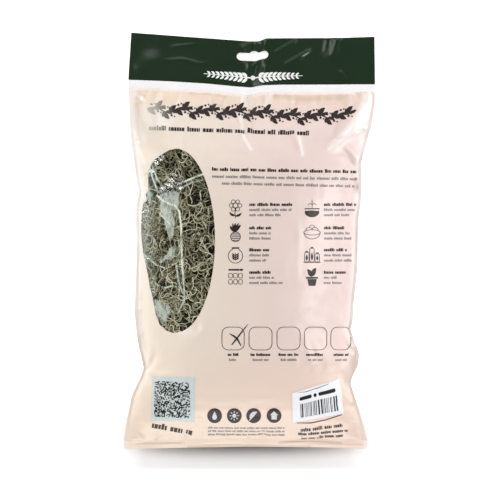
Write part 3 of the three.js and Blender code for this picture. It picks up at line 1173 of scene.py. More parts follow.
class MossSettings(bpy.types.PropertyGroup):
    """The bunch of dried moss."""

    window_strands: whole("Window Strands", "Strands behind the window", 1400)
    body_strands: whole("Body Strands", "Strands in the rest of the bunch", 1020)
    radius: length("Radius", "Radius of a strand", 0.00054)
    dark: tint("Dark", "Darkest strand", (0.014, 0.008, 0.003))
    olive: tint("Olive", "Olive strand", (0.10, 0.086, 0.040))
    tan: tint("Tan", "Tan strand", (0.52, 0.49, 0.32))
    pale: tint("Pale", "Palest strand", (0.94, 0.91, 0.72))
    seed: whole("Seed", "Seed of the strands", 3)


GROUPS = {
    "moss_bag_stage": StageSettings,
    "moss_bag_film": FilmSettings,
    "moss_bag_window": WindowSettings,
    "moss_bag_header": HeaderSettings,
    "moss_bag_print": PrintSettings,
    "moss_bag_moss": MossSettings,
}


# ---- Operators


WHITE, BLACK = (1, 1, 1, 1), (0, 0, 0, 1)
# Lights: name, place, what they point at and size in metres, and the setting of their power.
LIGHTS = (
    ("left_softbox", (-1.2, 0.15, 0.85), (0, 0, 0.03), (0.45, 1.0), "left_power"),
    ("right_softbox", (1.2, 0.15, 0.85), (0, 0, 0.03), (0.6, 1.0), "right_power"),
    ("top_softbox", (0.1, 1.5, 0.75), (0, 0, 0.03), (1.4, 0.4), "top_power"),
    ("left_back_strip", (-0.75, 1.1, 0.55), (0, 0.1, 0.03), (0.3, 0.9), "back_power"),
    ("right_back_strip", (0.95, 0.95, 0.5), (0, 0.1, 0.03), (0.3, 0.9), "back_power"),
    ("low_fill", (0.0, -1.4, 0.3), (0, 0, 0.08), (1.4, 0.4), "fill_power"),
)


def soft_light(name, place, target, size, power):
    """A white softbox that points at its target."""
    light = bpy.data.lights.new(name, "AREA")
    light.shape = "RECTANGLE"
    light.size, light.size_y = size
    light.energy = power
    lamp = add_object(name, light)
    lamp.location = place
    lamp.rotation_euler = (Vector(target) - Vector(place)).to_track_quat("-Z", "Y").to_euler()


class MOSSBAG_OT_stage(bpy.types.Operator):
    """Sets the floor, the lights and the camera above the bag"""

    bl_idname = "moss_bag.stage"
    bl_label = "Stage"

    def execute(self, context):
        stage = context.scene.moss_bag_stage
        context.scene.view_settings.view_transform = "Standard"
        world = bpy.data.worlds.new("studio")
        context.scene.world = world
        world.use_nodes = True
        light = world.node_tree.nodes["Background"].inputs
        light["Color"].default_value, light["Strength"].default_value = WHITE, stage.world_light

        mesh = new_mesh("floor", [(-3, -3, 0), (3, -3, 0), (3, 3, 0), (-3, 3, 0)], [], [(0, 1, 2, 3)])
        shader = Shader("floor")
        x, y = shader.axis("X"), shader.axis("Y")
        # Painted shadow: the floor is darkened towards black in a soft band below the end seal, and its glow
        # is off there.
        aside = x.maths("ABSOLUTE", x + 0.003)
        beyond = 1 - y.between(-0.19, -0.15)
        painted_floor_shadow = (1 - aside.between(0.01, 0.16)) * beyond * y.between(-0.228, -0.195)
        below = (1 - aside.between(0.10, 0.15)) * beyond * y.between(-0.242, -0.228)
        paper = shader.painted(
            Base_Color=shader.mix(painted_floor_shadow, rgba(stage.floor_colour), BLACK),
            Roughness=0.9,
            Specular_IOR_Level=0.1,
            Emission_Color=shader.mix(below, WHITE, BLACK),
            Emission_Strength=stage.floor_glow,
        )
        mesh.materials.append(paper)
        add_object("floor", mesh)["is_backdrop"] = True

        for *light, key in LIGHTS:
            soft_light(*light, getattr(stage, key))

        lens = bpy.data.cameras.new("camera")
        lens.lens, lens.sensor_width = 100, 36
        camera = add_object("camera", lens)
        camera.location = EYE * MM
        context.scene.camera = camera
        return {"FINISHED"}


class MOSSBAG_OT_film(bpy.types.Operator):
    """Makes the front film with its clear window, and the back film"""

    bl_idname = "moss_bag.film"
    bl_label = "Films"

    PANE_CELL, MARGIN = 0.75, 2  # of the clear film's grid, and how far it goes past the coarse grid's faces

    def execute(self, context):
        film, window = context.scene.moss_bag_film, context.scene.moss_bag_window
        shape = bag_shape()
        sheet = shape.front_sheet
        outline = window_outline(window)

        def level(a, b):
            spots = seen(shape.front.at(a, b))
            return edge_distance(spots.reshape(-1, 2), outline).reshape(a.shape)

        a, b, clear, printed = split_grid(sheet.a, sheet.b, level)
        thickness = mm(film.thickness)
        solid = film_solid(sheet, a, b, printed, thickness)
        front = make_piece("front_film_print", solid, "printed_film", node="front_film")
        write_marks(front, streak=streaks(seen_vertices(front), (*FILM_PAINTED_LIGHT, *edge_painted_highlights())))

        used = corners_of(clear)
        fine = np.meshgrid(*(self.finer(places.ravel()[used]) for places in (a, b)))
        a, b, clear, _ = split_grid(*fine, level)
        solid = film_solid(sheet, a, b, clear, thickness)
        self.mark_pane(make_piece("window_film_clear", solid, "clear_film", node="window_film"))

        back = shape.back_sheet
        inner = back.points - back.normals * thickness
        solid = thin_solid(back.points, inner, grid_faces(*back.a.shape, flip=True))
        make_piece("back_film_print", solid, "printed_film", node="back_film")
        return {"FINISHED"}

    def finer(self, places):
        """Lines of the clear film's grid, which is finer than that of the print round it."""
        count = math.ceil((np.ptp(places) + 2 * self.MARGIN) / self.PANE_CELL)
        return np.linspace(places.min() - self.MARGIN, places.max() + self.MARGIN, count)

    def mark_pane(self, pane):
        """Writes how pale the clear film is at each point, with haze and painted glints along creases and
        painted glare in patches, and how crumpled it is.
        """
        spots = seen_vertices(pane)
        haze = streaks(spots, CREASE_HAZE_AND_GLINTS)
        for outline, share in PAINTED_GLARE_PATCHES:
            ragged = 1.6 * field(side_by_side(*spots.T, spots[:, 0] * 0), 5, 4.0)
            outside = edge_distance(spots, [*outline, outline[0]])
            haze = np.maximum(haze, share * ease(0.5 - (outside + ragged) / 1.6))
        crumpled = np.zeros(len(spots))
        for x, y, reach in CRUMPLED:
            crumpled = np.maximum(crumpled, ease(1.3 - np.hypot(spots[:, 0] - x, spots[:, 1] - y) / reach))
        write_marks(pane, haze=haze, crumpled=crumpled)


class MOSSBAG_OT_welds(bpy.types.Operator):
    """Makes the side welds and the end seal"""

    bl_idname = "moss_bag.welds"
    bl_label = "Welds"

    def execute(self, context):
        shape = bag_shape()
        for name, node, solid, lines in (
            ("left_side_weld_fin", "left_side_weld", fin(shape, -1), edge_painted_highlights()),
            ("right_side_weld_fin", "right_side_weld", fin(shape, 1), edge_painted_highlights()),
            ("bottom_seal_fin", "bottom_seal", end_seal(shape), SEAL_PAINTED_LIGHT),
        ):
            weld = make_piece(name, solid, "printed_film", node=node)
            write_marks(weld, streak=streaks(seen_vertices(weld), lines))
        return {"FINISHED"}


# The welds as they are drawn: how thick they are, and how far they hang down for each millimetre outwards.
FIN_THICKNESS, SEAL_THICKNESS = 0.5, 0.6
FIN_DROOP, SEAL_DROOP = 0.15, 0.55


def solid_strip(middle, thickness):
    """A closed solid round a grid of points, this thick."""
    normal = normals_of(middle)
    outer, inner = middle + normal * thickness / 2, middle - normal * thickness / 2
    return thin_solid(outer, inner, grid_faces(*middle.shape[:2]))


def fin(shape, side):
    """The side weld: a narrow strip outwards and a little down from the films' shared border."""
    b = np.linspace(0, shape.length, 240)
    border = shape.front.at(np.full_like(b, side * shape.half), b)
    run = np.gradient(border, axis=0)
    out = side_by_side(run[:, 1], -run[:, 0], np.zeros_like(b)) * side
    out /= np.linalg.norm(out, axis=1, keepdims=True)
    out[:, 2] = -FIN_DROOP
    spot = side_by_side(np.full_like(b, side * 9.0), b, b * 0)
    ripple = 0.5 * field(spot, 7) + 0.5 * field(spot, 19)
    reach = np.array([-0.7, 0, 0.8, 1.7, shape.weld])
    middle = border[:, None] + reach[None, :, None] * out[:, None]
    middle[..., 2] += ripple[:, None] * np.clip(reach / shape.weld, 0, 1) ** 2
    return solid_strip(middle if side > 0 else middle[:, ::-1], FIN_THICKNESS)


def end_row(shape, count):
    """Points along the films' lower end, out to the outer edges of the side welds, and their flat places."""
    a = np.linspace(-shape.half - shape.weld, shape.half + shape.weld, count)
    on_film = np.clip(a, -shape.half, shape.half)
    row = shape.front.at(on_film, np.zeros_like(a))
    row[:, 0] += a - on_film
    return a, row


# Fold lines along the end seal: from and to x, how far below its start, and height.
SEAL_FOLDS = ((-118, -62, 2.2, -0.9), (28, 96, 1.6, -1.0), (-50, 12, 4.6, -0.35), (60, 118, 5.0, 0.5))


def end_seal(shape):
    """The seal across the lower end."""
    width, overlap = 8.0, 0.8
    a, row = end_row(shape, 160)
    reach = np.linspace(-overlap, width, 22)
    middle = np.repeat(row[None], len(reach), 0)
    middle[..., 1] -= reach[:, None]
    spot = side_by_side(a, a * 0, a * 0 + 5)
    ripple = 1.1 * field(spot, 30) + 0.35 * field(spot, 9)
    middle[..., 2] += ripple * np.clip(reach / width, 0, 1)[:, None] - SEAL_DROOP * reach[:, None]
    x = row[:, 0]
    for left, right, at, height in SEAL_FOLDS:
        inside = ease((x - left) / 9) * ease((right - x) / 9)
        bow = at + 1.4 * ((x - (left + right) / 2) / (right - left)) ** 2
        middle[..., 2] += height * inside * np.exp(-(((reach[:, None] - bow) / 0.8) ** 2))
    return solid_strip(middle[::-1], SEAL_THICKNESS)


# ---- Header

# Where the header's top edge is seen, and where its sides start and end: seen x and y.
TOP_LINE = (
    (-124, 208.8), (-116, 208.3), (-60, 204), (1.5, 199.5), (11, 199.6), (17, 202.6), (91.5, 203),
    (126, 204.2),
)
HEADER_SIDES = ((-120.6, -117.2), (126.6, 126.0))
# Waves of the top edge: x and z. The header's creases: seen places, and then as FRONT_CREASES.
HEADER_WAVE = (
    (-124, 3), (-96, -1.5), (-60, 2.5), (-20, 0.5), (4, -3), (15, 2), (48, 3), (82, -1.5), (102, 1), (127, 3),
)
HEADER_CREASES = (
    (((-80.5, 197), (-74.9, 194.2), (-41, 197.8)), 0.6, 3.2, 0.2, 0.5),
    (((-118, 163), (-103, 176), (-86, 190)), 1.35, 14, 0.3, 0.4, True),
    (((-88.5, 180), (-66, 181.7), (-48.5, 177.2), (-34.7, 179)), 0.6, 3.2, 0.3, 0.3),
    (((-10, 190), (2, 196), (12, 200)), 0.9, 7, 0.2, 0.1, True),
    (((-3.5, 179), (-3.2, 170)), 1.2, 3, 0.1, 0.3),
    (((5, 178), (1, 155)), 0.8, 3, 0.1, 0.1),
    (((9, 178), (3, 156)), -0.8, 3, 0.1, 0.1),
    (((17.5, 178), (15.2, 156.7)), 0.8, 3, 0.2, 0.2),
    (((18.3, 202), (15.2, 192)), 0.9, 3.5, 0.05, 0.3),
    (((49.5, 201), (36, 193.5), (23, 186.5)), 1.5, 2.6, 0.15, 0.3),
    (((64.5, 192.4), (50, 184), (33.5, 174.6)), 1.4, 2.6, 0.2, 0.2),
    (((55.5, 184.4), (44.2, 177.2)), 0.7, 2.6, 0.3, 0.3),
    (((89, 203), (86, 191), (81, 177)), 2.2, 6.5, 0.05, 0.5, True),
    (((80, 203), (78, 191), (76, 180)), -1.0, 5, 0.05, 0.5, True),
    (((90, 171.5), (98, 159)), 0.8, 4, 0.3, 0.3),
)
HEADER_SLOPE = math.radians(15)
FOLD_LEAN = 0.16  # how far the header's kink moves to the right for each millimetre up
SLOT_PLACE = (4.0, 183.8)  # where the middle of the hang slot is seen
PLY_OUTSIDE, PLY_INSIDE = 0.26, 0.05  # how far a ply's two faces are from the middle between both plies


class Header:
    """The middle of the header's film: a across as on the bag's film, and c above the neck."""

    JOIN = 6  # how far above the neck the header still bends away from it
    LOWEST = 0.7  # its least height
    SLOT_REACH, SLOT_RADIUS = 11.6, 4.4  # half the straight part of the hang slot, and the radius of its ends
    BUMP_RADIUS, BUMP_X, BUMP_RISE = 4.8, 1.3, 2.2  # of the bump on top of the slot

    def __init__(self, shape, settings):
        self.shape, self.length = shape, mm(settings.length)
        self.half = shape.half + shape.weld
        self.creases = []
        for line, *rest in HEADER_CREASES:
            self.creases.append(Crease([self.flat_place(place) for place in line], *rest))

    def flat_place(self, seen_xy):
        """The flat place that is seen at a place."""
        x, y = seen_xy
        low, high = curve(NECK_LINE, x), curve(TOP_LINE, x)
        share = (y - low) / (high - low)
        left, right = self.sides(share)
        return (2 * (x - left) / (right - left) - 1) * self.half, share * self.length

    def sides(self, share):
        """The seen x of both sides at this share of the way up."""
        return (start + (end - start) * share for start, end in HEADER_SIDES)

    def plain(self, a, c):
        """Points of the header without its creases."""
        share = c / self.length
        left, right = self.sides(share)
        x = left + (right - left) * (a / self.half + 1) / 2
        lean = FOLD_LEAN * self.length
        y = curve(NECK_LINE, x - lean * share) * (1 - share) + curve(TOP_LINE, x + lean * (1 - share)) * share
        on_film = np.clip(a, -self.shape.half, self.shape.half)
        neck = self.shape.front.at(on_film, np.full_like(a, self.shape.length))
        wave = curve(HEADER_WAVE, x) - curve(NECK_WAVE, x)
        z = neck[..., 2] + wave * ease(share) - c * math.sin(HEADER_SLOPE)
        points = np.concatenate([under(side_by_side(x, y), z[..., None]), z[..., None]], -1)
        join = (1 - ease(c / self.JOIN))[..., None]
        neck[..., 0] += a - on_film
        neck[..., 1:] += side_by_side(c * math.cos(HEADER_SLOPE), -c * math.sin(HEADER_SLOPE))
        return points * (1 - join) + neck * join

    def at(self, a, c):
        """Points of the header."""
        points = self.plain(a, c)
        spot = side_by_side(a, c, np.full_like(a, 40))
        points[..., 2] += (0.5 * field(spot, 34) + 0.15 * field(spot, 12)) * ease(c / 12)
        points[..., 2] += crease_height(self.creases, a, c)
        points[..., 2] = np.maximum(points[..., 2], self.LOWEST)
        return points

    def grid(self, cell, low, high):
        """Flat places of a grid over a band of the header."""
        columns, rows = round(2 * self.half / cell) + 1, round((high - low) / cell) + 1
        return np.meshgrid(np.linspace(-self.half, self.half, columns), np.linspace(low, high, rows))

    def slot(self, a, c):
        """How far flat places are outside the hang slot, a bar with round ends and a bump on top."""
        middle = self.flat_place(SLOT_PLACE)
        x, y = a - middle[0], c - middle[1]
        bar = np.hypot(np.maximum(np.abs(x) - self.SLOT_REACH, 0), y) - self.SLOT_RADIUS
        return np.minimum(bar, np.hypot(x - self.BUMP_X, y - self.BUMP_RISE) - self.BUMP_RADIUS)


@cache
def header_shape():
    """The header's film, worked out once."""
    return Header(bag_shape(), bpy.context.scene.moss_bag_header)


class MOSSBAG_OT_header(bpy.types.Operator):
    """Makes the hang header's two plies with their slot, and the white weld below them"""

    bl_idname = "moss_bag.header"
    bl_label = "Header"

    def execute(self, context):
        header = header_shape()
        weld = mm(context.scene.moss_bag_header.weld_length)
        for side, name, node, cell in ((1, "header_front_green", "header_front_ply", 1.3),
                                       (-1, "header_back_green", "header_back_ply", 1.9)):
            a, c, _, kept = split_grid(*header.grid(cell, weld, header.length), header.slot)
            middle = header.at(a, c)
            normal = normals_of(middle) * side
            outer, inner = (middle + normal * lift for lift in (PLY_OUTSIDE, PLY_INSIDE))
            faces = kept if side > 0 else [face[::-1] for face in kept]
            make_piece(name, thin_solid(outer, inner, faces), "header_film", node=node)
        strip = solid_strip(header.at(*header.grid(1.7, -1.0, weld)), FIN_THICKNESS)
        make_piece("header_weld_white", strip, "header_weld", "white_film", "header_weld")
        return {"FINISHED"}


# ---- Print


class Ink:
    """Strips of print, drawn where they are seen and made into one thin piece that follows the film."""

    STEP = 1.5  # the longest stretch of print that is drawn flat
    THINNEST = 0.06
    UNDERSIDE = 0.55  # the share of its lift at which the ink's lower face lies

    def __init__(self, place):
        self.place = place  # gives points for seen places, and a share of the ink's lift
        self.origin = (0, 0)
        self.spots, self.faces, self.count = [], [], 0

    def strip(self, line, width):
        """A strip along a line, as wide as this at its points. Both ends may come to a point."""
        line = np.array(line, float) + self.origin
        width = np.broadcast_to(np.asarray(width, float), len(line))
        at = arc_lengths(*np.diff(line, axis=0).T)
        wanted = max(len(line), math.ceil(at[-1] / self.STEP) + 1)
        spots = np.unique(np.concatenate([at, np.linspace(0, at[-1], wanted)]).round(4))
        x, y = np.interp(spots, at, line[:, 0]), np.interp(spots, at, line[:, 1])
        wide = np.maximum(np.interp(spots, at, width), self.THINNEST)
        run = side_by_side(np.gradient(x), np.gradient(y))
        run /= np.maximum(np.linalg.norm(run, axis=1, keepdims=True), 1e-9)
        side = side_by_side(run[:, 1], -run[:, 0])
        cells = max(1, math.ceil(wide.max() / self.STEP))
        share = np.linspace(-0.5, 0.5, cells + 1)
        across = side_by_side(x, y)[:, None] + side[:, None] * (share[None, :] * wide[:, None])[..., None]
        self.spots.append(across.reshape(-1, 2))
        self.faces += [tuple(i + self.count for i in face) for face in grid_faces(len(spots), cells + 1)]
        self.count += across.shape[0] * across.shape[1]

    def arc(self, centre, radius, start=0.0, end=2 * math.pi, width=0.5, squash=1.0):
        """Part of a circle's outline, or of a flatter oval's."""
        turns = np.linspace(start, end, max(8, math.ceil(radius * abs(end - start))))
        x, y = centre[0] + radius * np.cos(turns), centre[1] + radius * squash * np.sin(turns)
        self.strip(side_by_side(x, y), width)

    def disc(self, centre, radius):
        """A filled circle."""
        across = radius * np.cos(np.linspace(math.pi, 0, 13))
        height = 2 * np.sqrt(np.maximum(radius**2 - across**2, 0))
        self.strip(side_by_side(centre[0] + across, np.full(13, centre[1], float)), height)

    def bar(self, start, end, height):
        """A rounded bar."""
        start, end = np.array([start, end], float)
        length = np.linalg.norm(end - start)
        tip = min(0.45, length / 4)
        at = np.array([0, tip, length - tip, length])
        self.strip(start + (end - start) * (at / length)[:, None], height * np.array([0.5, 1, 1, 0.5]))

    def leaf(self, base, tip, width, bend=0.15):
        """A leaf that is widest a little below its middle."""
        base, tip = np.array([base, tip], float)
        t = np.linspace(0, 1, 9)
        along = tip - base
        side = np.array([-along[1], along[0]])
        line = base + along * t[:, None] + side * (bend * np.sin(math.pi * t))[:, None]
        self.strip(line, width * np.sin(math.pi * t**0.85) ** 0.8)

    def box(self, centre, width, height, corner, line):
        """The outline of a box with round corners."""
        spots = []
        for k, (sx, sy) in enumerate(((1, 1), (-1, 1), (-1, -1), (1, -1))):
            turns = np.linspace(k, k + 1, 7) * math.pi / 2
            x = centre[0] + sx * (width / 2 - corner) + corner * np.cos(turns)
            y = centre[1] + sy * (height / 2 - corner) + corner * np.sin(turns)
            spots += list(zip(x, y))
        self.strip([*spots, spots[0]], line)

    def patch(self, centre, width, height):
        """A filled rectangle."""
        self.strip([(centre[0] - width / 2, centre[1]), (centre[0] + width / 2, centre[1])], height)

    def words(self, start, end, height, rng, shortest=4.0, longest=13.0):
        """A line of small print: words of little blocks, some a bit taller, with no letters in them."""
        start, end = np.array([start, end], float)
        length = np.linalg.norm(end - start)
        run = (end - start) / length
        up = np.array([-run[1], run[0]])
        at = 0.0
        while at < length - height * 0.5:
            word = min(at + rng.uniform(shortest, longest), length)
            while at < word:
                wide = min(height * rng.uniform(0.35, 0.85), max(word - at, height * 0.3))
                tall = height * rng.choice([1.0, 1.35], p=[0.75, 0.25])
                middle = start + run * (at + wide / 2) + up * (tall - height) / 2
                self.strip([middle - up * tall / 2, middle + up * tall / 2], wide)
                at += wide + height * 0.16
            at += height * 0.7

    def finish(self, name, look, slot="printed_film", node=None):
        """One piece of all strips so far, in this ink."""
        spots = np.concatenate(self.spots)
        solid = thin_solid(self.place(spots, 1.0), self.place(spots, self.UNDERSIDE), self.faces)
        return make_piece(name, solid, look, slot, node, smooth=False)


def film_ink(lift_share=1.0):
    """Ink that lies on the front film, at this share of the usual height."""
    lift = mm(bpy.context.scene.moss_bag_print.lift) * lift_share
    shape = bag_shape()

    def place(spots, share):
        a, b = shape.front.flat_place(spots).T
        return shape.front_sheet.on(a, b, lift * share)

    return Ink(place)


def title_vine(ink, line):
    """A bold leafy vine along a line, with berries between its leaves."""
    x = np.linspace(line[0][0], line[-1][0], 140)
    middle = curve(line, x)
    wave, swing = 27.0, 2.6
    phase = 2 * math.pi * (x - x[0]) / wave
    ink.strip(side_by_side(x, middle + swing * np.sin(phase)), 1.3)
    count = round((x[-1] - x[0]) / (wave / 4))
    for k in range(count):
        spot = x[0] + (k + 0.5) / count * (x[-1] - x[0])
        foot = np.array([spot, np.interp(spot, x, middle + swing * np.sin(phase))])
        up = 1 if k % 2 else -1
        ink.leaf(foot, foot + (5.2, up * 7.0), 4.6, 0.12 * up)
        ink.leaf(foot + (0.8, 0), foot + (8.0, up * 2.6), 3.4, -0.12 * up)
        ink.leaf(foot, foot + (-1.4, up * 5.4), 2.6, 0.1 * up)
        ink.disc(foot + (0.4, -up * 3.6), 1.15)
        ink.disc(foot + (3.4, -up * 4.6), 0.8)


def motif_flower(ink):
    """A round flower on a forked stem, in thin lines."""
    ink.arc((0, 3.5), 2.4, width=0.55)
    for turn in np.arange(6) * math.pi / 3:
        ink.arc((4.4 * math.cos(turn), 3.5 + 4.4 * math.sin(turn)), 1.9)
    ink.strip([(0, 1), (-0.5, -4), (0, -9)], 0.7)
    ink.leaf((-0.2, -6.5), (-6, -3), 2.4)
    ink.leaf((-0.2, -7), (6, -3.6), 2.4, -0.15)


def motif_sprout(ink):
    """A solid sprout on a hatched ball."""
    for x, y, width in ((0, 9.5, 3.0), (5.5, 7.5, 3.0), (-5.5, 6.5, 3.0), (-3, 9.2, 2.2), (3.4, 9.6, 2.2)):
        ink.leaf((0, 0.5), (x, y), width, 0.06)
    radius, middle = 4.9, -4.4
    ink.arc((0, middle), radius, width=0.6)
    for y in (-3.6, -1.8, 0, 1.8, 3.6):
        reach = math.sqrt(radius**2 - y**2)
        ink.strip([(-reach, middle + y), (reach, middle + y)], 0.75)


def motif_jar(ink):
    """A round jar with a sprig in it."""
    ink.arc((0, -1.5), 7.2, math.radians(112), math.radians(428), 0.6)
    ink.patch((0, 6.4), 7.2, 1.5)
    ink.strip([(0, -6), (0, 1.5)], 0.6)
    for y in (-5, -3, -1):
        for side in (-1, 1):
            ink.leaf((0, y), (3.2 * side, y + 2.4), 1.5, -0.15 * side)


def motif_tools(ink):
    """A brush over a row of little frames."""
    ink.bar((-7, 7), (4, 7), 1.7)
    ink.leaf((4, 7), (8, 7), 2.2, 0)
    for x in (-5, 0, 5):
        ink.box((x, 1.2), 3.8, 4.4, 0.8, 0.5)
        ink.box((x, -5), 3.8, 4.8, 1.6, 0.5)


def motif_bowl(ink):
    """A solid bowl with a thin plant above it."""
    radius = 6.8
    across = radius * np.cos(np.linspace(math.pi, 0, 13))
    depth = np.sqrt(np.maximum(radius**2 - across**2, 0))
    ink.strip(side_by_side(across, -1.5 - depth / 2), depth)
    ink.patch((0, 0.2), 15, 1.0)
    ink.strip([(0, 1), (0, 9)], 0.4)
    for x in (-2, 2):
        ink.arc((x, 3.4), 2, 0, math.pi, 0.4)


def motif_basket(ink):
    """An oval basket with round things in it, in thin lines."""
    ink.arc((0, 0), 8.2, math.pi, 2 * math.pi, 0.55, 0.8)
    ink.arc((0, 0), 8.2, squash=0.32)
    ink.arc((-2.8, 1.6), 3.4, 0.3, math.pi - 0.2)
    ink.arc((2.8, 1.6), 3.4, 0.2, math.pi - 0.3)
    ink.arc((0, 4.4), 3.0, 0.4, math.pi - 0.4)


def motif_shelf(ink):
    """Three jars on a shelf."""
    ink.patch((0, -8), 17, 0.7)
    for x, height in ((-5.2, 9.5), (0, 13.5), (5.2, 8)):
        ink.box((x, -7.5 + height / 2), 4.4, height, 1.3, 0.55)
        ink.patch((x, -6.6 + height), 2.8, 0.9)
        ink.leaf((x, -6), (x, -6 + height * 0.6), 2.0, 0)


def motif_pot(ink):
    """A pot with two solid leaves."""
    ink.leaf((-0.5, 0), (-5, 7.5), 4.6, -0.08)
    ink.leaf((0.5, 0.5), (4, 9), 4.6, 0.08)
    ink.patch((0, -1), 12, 1.6)
    ink.strip([(0, -2.2), (0, -9)], [9.5, 6.6])


MOTIFS = (
    (motif_flower, motif_sprout, motif_jar, motif_tools),
    (motif_bowl, motif_basket, motif_shelf, motif_pot),
)
MOTIF_COLUMNS = (-13, 63.5)  # seen x of the middles of the motifs
MOTIF_ROWS = (32, 8.6, -13.4, -35.8)  # their seen y
# Where the words beside each column start, and where the three lines of each row end: seen x.
MOTIF_TEXT = (
    (0.8, ((45, 43, 32), (25, 22, 22), (23, 20.5, 17), (22, 25, 34))),
    (75.5, ((107, 106, 103), (98, 101, 103), (98, 103, 103), (97, 88, 93))),
)
# Seen x and width of each check box, and half the length of its caption.
CHECK_BOXES = ((-15.4, 22.3, 5.3), (12, 23, 9.9), (40, 23, 9.9), (67, 22.4, 9.3), (92.2, 20, 7.5))
CHECK_ROW = -97.5
DISCS = (-33.9, -14.2, 5.2, 25.6)
DISC_ROW = -174.6
CODE_PLACE, CODE_SIDE, CODE_COUNT = (-75.4, -158), 35.6, 33  # of the pattern of squares


class MOSSBAG_OT_print(bpy.types.Operator):
    """Prints the front film: a vine, small print, motifs, check boxes, a code panel and four discs"""

    bl_idname = "moss_bag.print"
    bl_label = "Print"

    def execute(self, context):
        rng = np.random.default_rng(21)
        title = film_ink()
        title_vine(title, ((-101, 131.5), (-20, 129.5), (50, 124.5), (102, 125.5)))
        title.words((-100, 112.8), (61, 107.2), 3.5, rng, 7.0, 20.0)
        title.finish("print_title_vine", "dark_ink")

        dark, grey = film_ink(), film_ink()
        dark.words((-36.5, 71.5), (108, 69), 2.6, rng)
        grey.words((-36.5, 64.4), (110, 61.7), 2.2, rng)
        grey.words((-26.6, 57.5), (107, 54.6), 2.2, rng)
        for column, motifs in enumerate(MOTIFS):
            start, rows = MOTIF_TEXT[column]
            for y, motif, ends in zip(MOTIF_ROWS, motifs, rows):
                dark.origin = (MOTIF_COLUMNS[column], y)
                motif(dark)
                dark.origin = (0, 0)
                for ink, up, height, end in zip((dark, grey, grey), (4.2, -1.0, -6.2), (2.3, 1.9, 1.9), ends):
                    ink.words((start, y + up), (end, y + up), height, rng, 5, 12)
        for x, width, reach in CHECK_BOXES:
            dark.box((x, CHECK_ROW), width, 22.8, 6.4, 0.55)
            captions = ((dark, 16.4, reach, 2.0, 2 * reach), (grey, 21.5, reach * 0.8, 1.7, 12))
            for ink, down, half, height, longest in captions:
                y = CHECK_ROW - down
                ink.words((x - half, y), (x + half, y), height, rng, 3, longest)
        for y in (-187, -190.3, -193.6):
            grey.words((-40.5, y), (36, y - 0.3), 1.3, rng, 3, 9)
        dark.finish("print_marks", "dark_ink")
        grey.finish("print_small_lines", "grey_ink")

        pen = film_ink(1.6)
        pen.strip([(-19.1, -92.6), (-14.8, -95.0), (-11.5, -97.6), (-7.5, -104.6)], [0.5, 1.5, 1.8, 0.7])
        pen.strip([(-16.9, -104), (-12.6, -98.6), (-5.5, -89.4), (-0.4, -83)], [0.8, 1.5, 1.0, 0.35])
        pen.finish("print_pen_cross", "black_ink")

        self.code_panel(rng)
        self.discs()
        return {"FINISHED"}

    def code_panel(self, rng):
        """A pale panel with a random pattern of small squares, and a line of print below it."""
        x, y = CODE_PLACE
        panel = film_ink(0.6)
        panel.strip([(x - 22, y + 0.4), (x + 22, y - 0.4)], 44.6)
        panel.finish("print_code_panel", "panel_ink")
        squares = film_ink(1.3)
        cell, slope = CODE_SIDE / CODE_COUNT, 0.05
        for row, filled in enumerate(rng.random((CODE_COUNT, CODE_COUNT)) < 0.5):
            # Neighbours in a row are one strip, from an edge of the filled squares to the next.
            edges = np.flatnonzero(np.diff(np.concatenate([[False], filled, [False]])))
            for first, last in edges.reshape(-1, 2):
                left, run = x - 1.0 + first * cell - CODE_SIDE / 2, last - first
                level = y - 0.6 + (row + 0.5) * cell - CODE_SIDE / 2 - slope * (left - x)
                squares.strip([(left, level), (left + run * cell, level - slope * run * cell)], cell)
        squares.finish("print_code_squares", "black_ink")
        foot = film_ink()
        foot.words((-96.5, -184.5), (-56, -192.5), 4.4, rng, 9, 17)
        foot.finish("print_code_foot", "dark_ink")

    def discs(self):
        """Four dark discs with pale signs of a drop, a sun, a leaf and a house."""
        discs, signs = film_ink(), film_ink(1.7)
        drop, sun, leaf, house = (np.array([x, DISC_ROW]) for x in DISCS)
        for place in (drop, sun, leaf, house):
            discs.disc(place, 7.4)
        signs.strip([drop + (0, 4.6), drop + (0, 1), drop - (0, 1.6), drop - (0, 3.9)], [0.1, 3.2, 5.0, 2.2])
        signs.disc(sun, 2.0)
        for k in range(8):
            way = np.array([math.cos(k * math.pi / 4), math.sin(k * math.pi / 4)])
            signs.strip([sun + way * 3.0, sun + way * 4.7], 0.8)
        signs.leaf(leaf - (3.4, 3.6), leaf + (3.6, 3.8), 4.2)
        signs.strip([leaf - (4.4, 4.6), leaf - (2.6, 2.8)], 0.8)
        signs.strip([house + (0, 4.4), house + (0, 0.6)], [0.2, 8.2])
        signs.strip([house + (0, 0.4), house - (0, 3.8)], 5.4)
        discs.finish("print_discs", "dark_ink")
        signs.finish("print_disc_signs", "sign_ink")


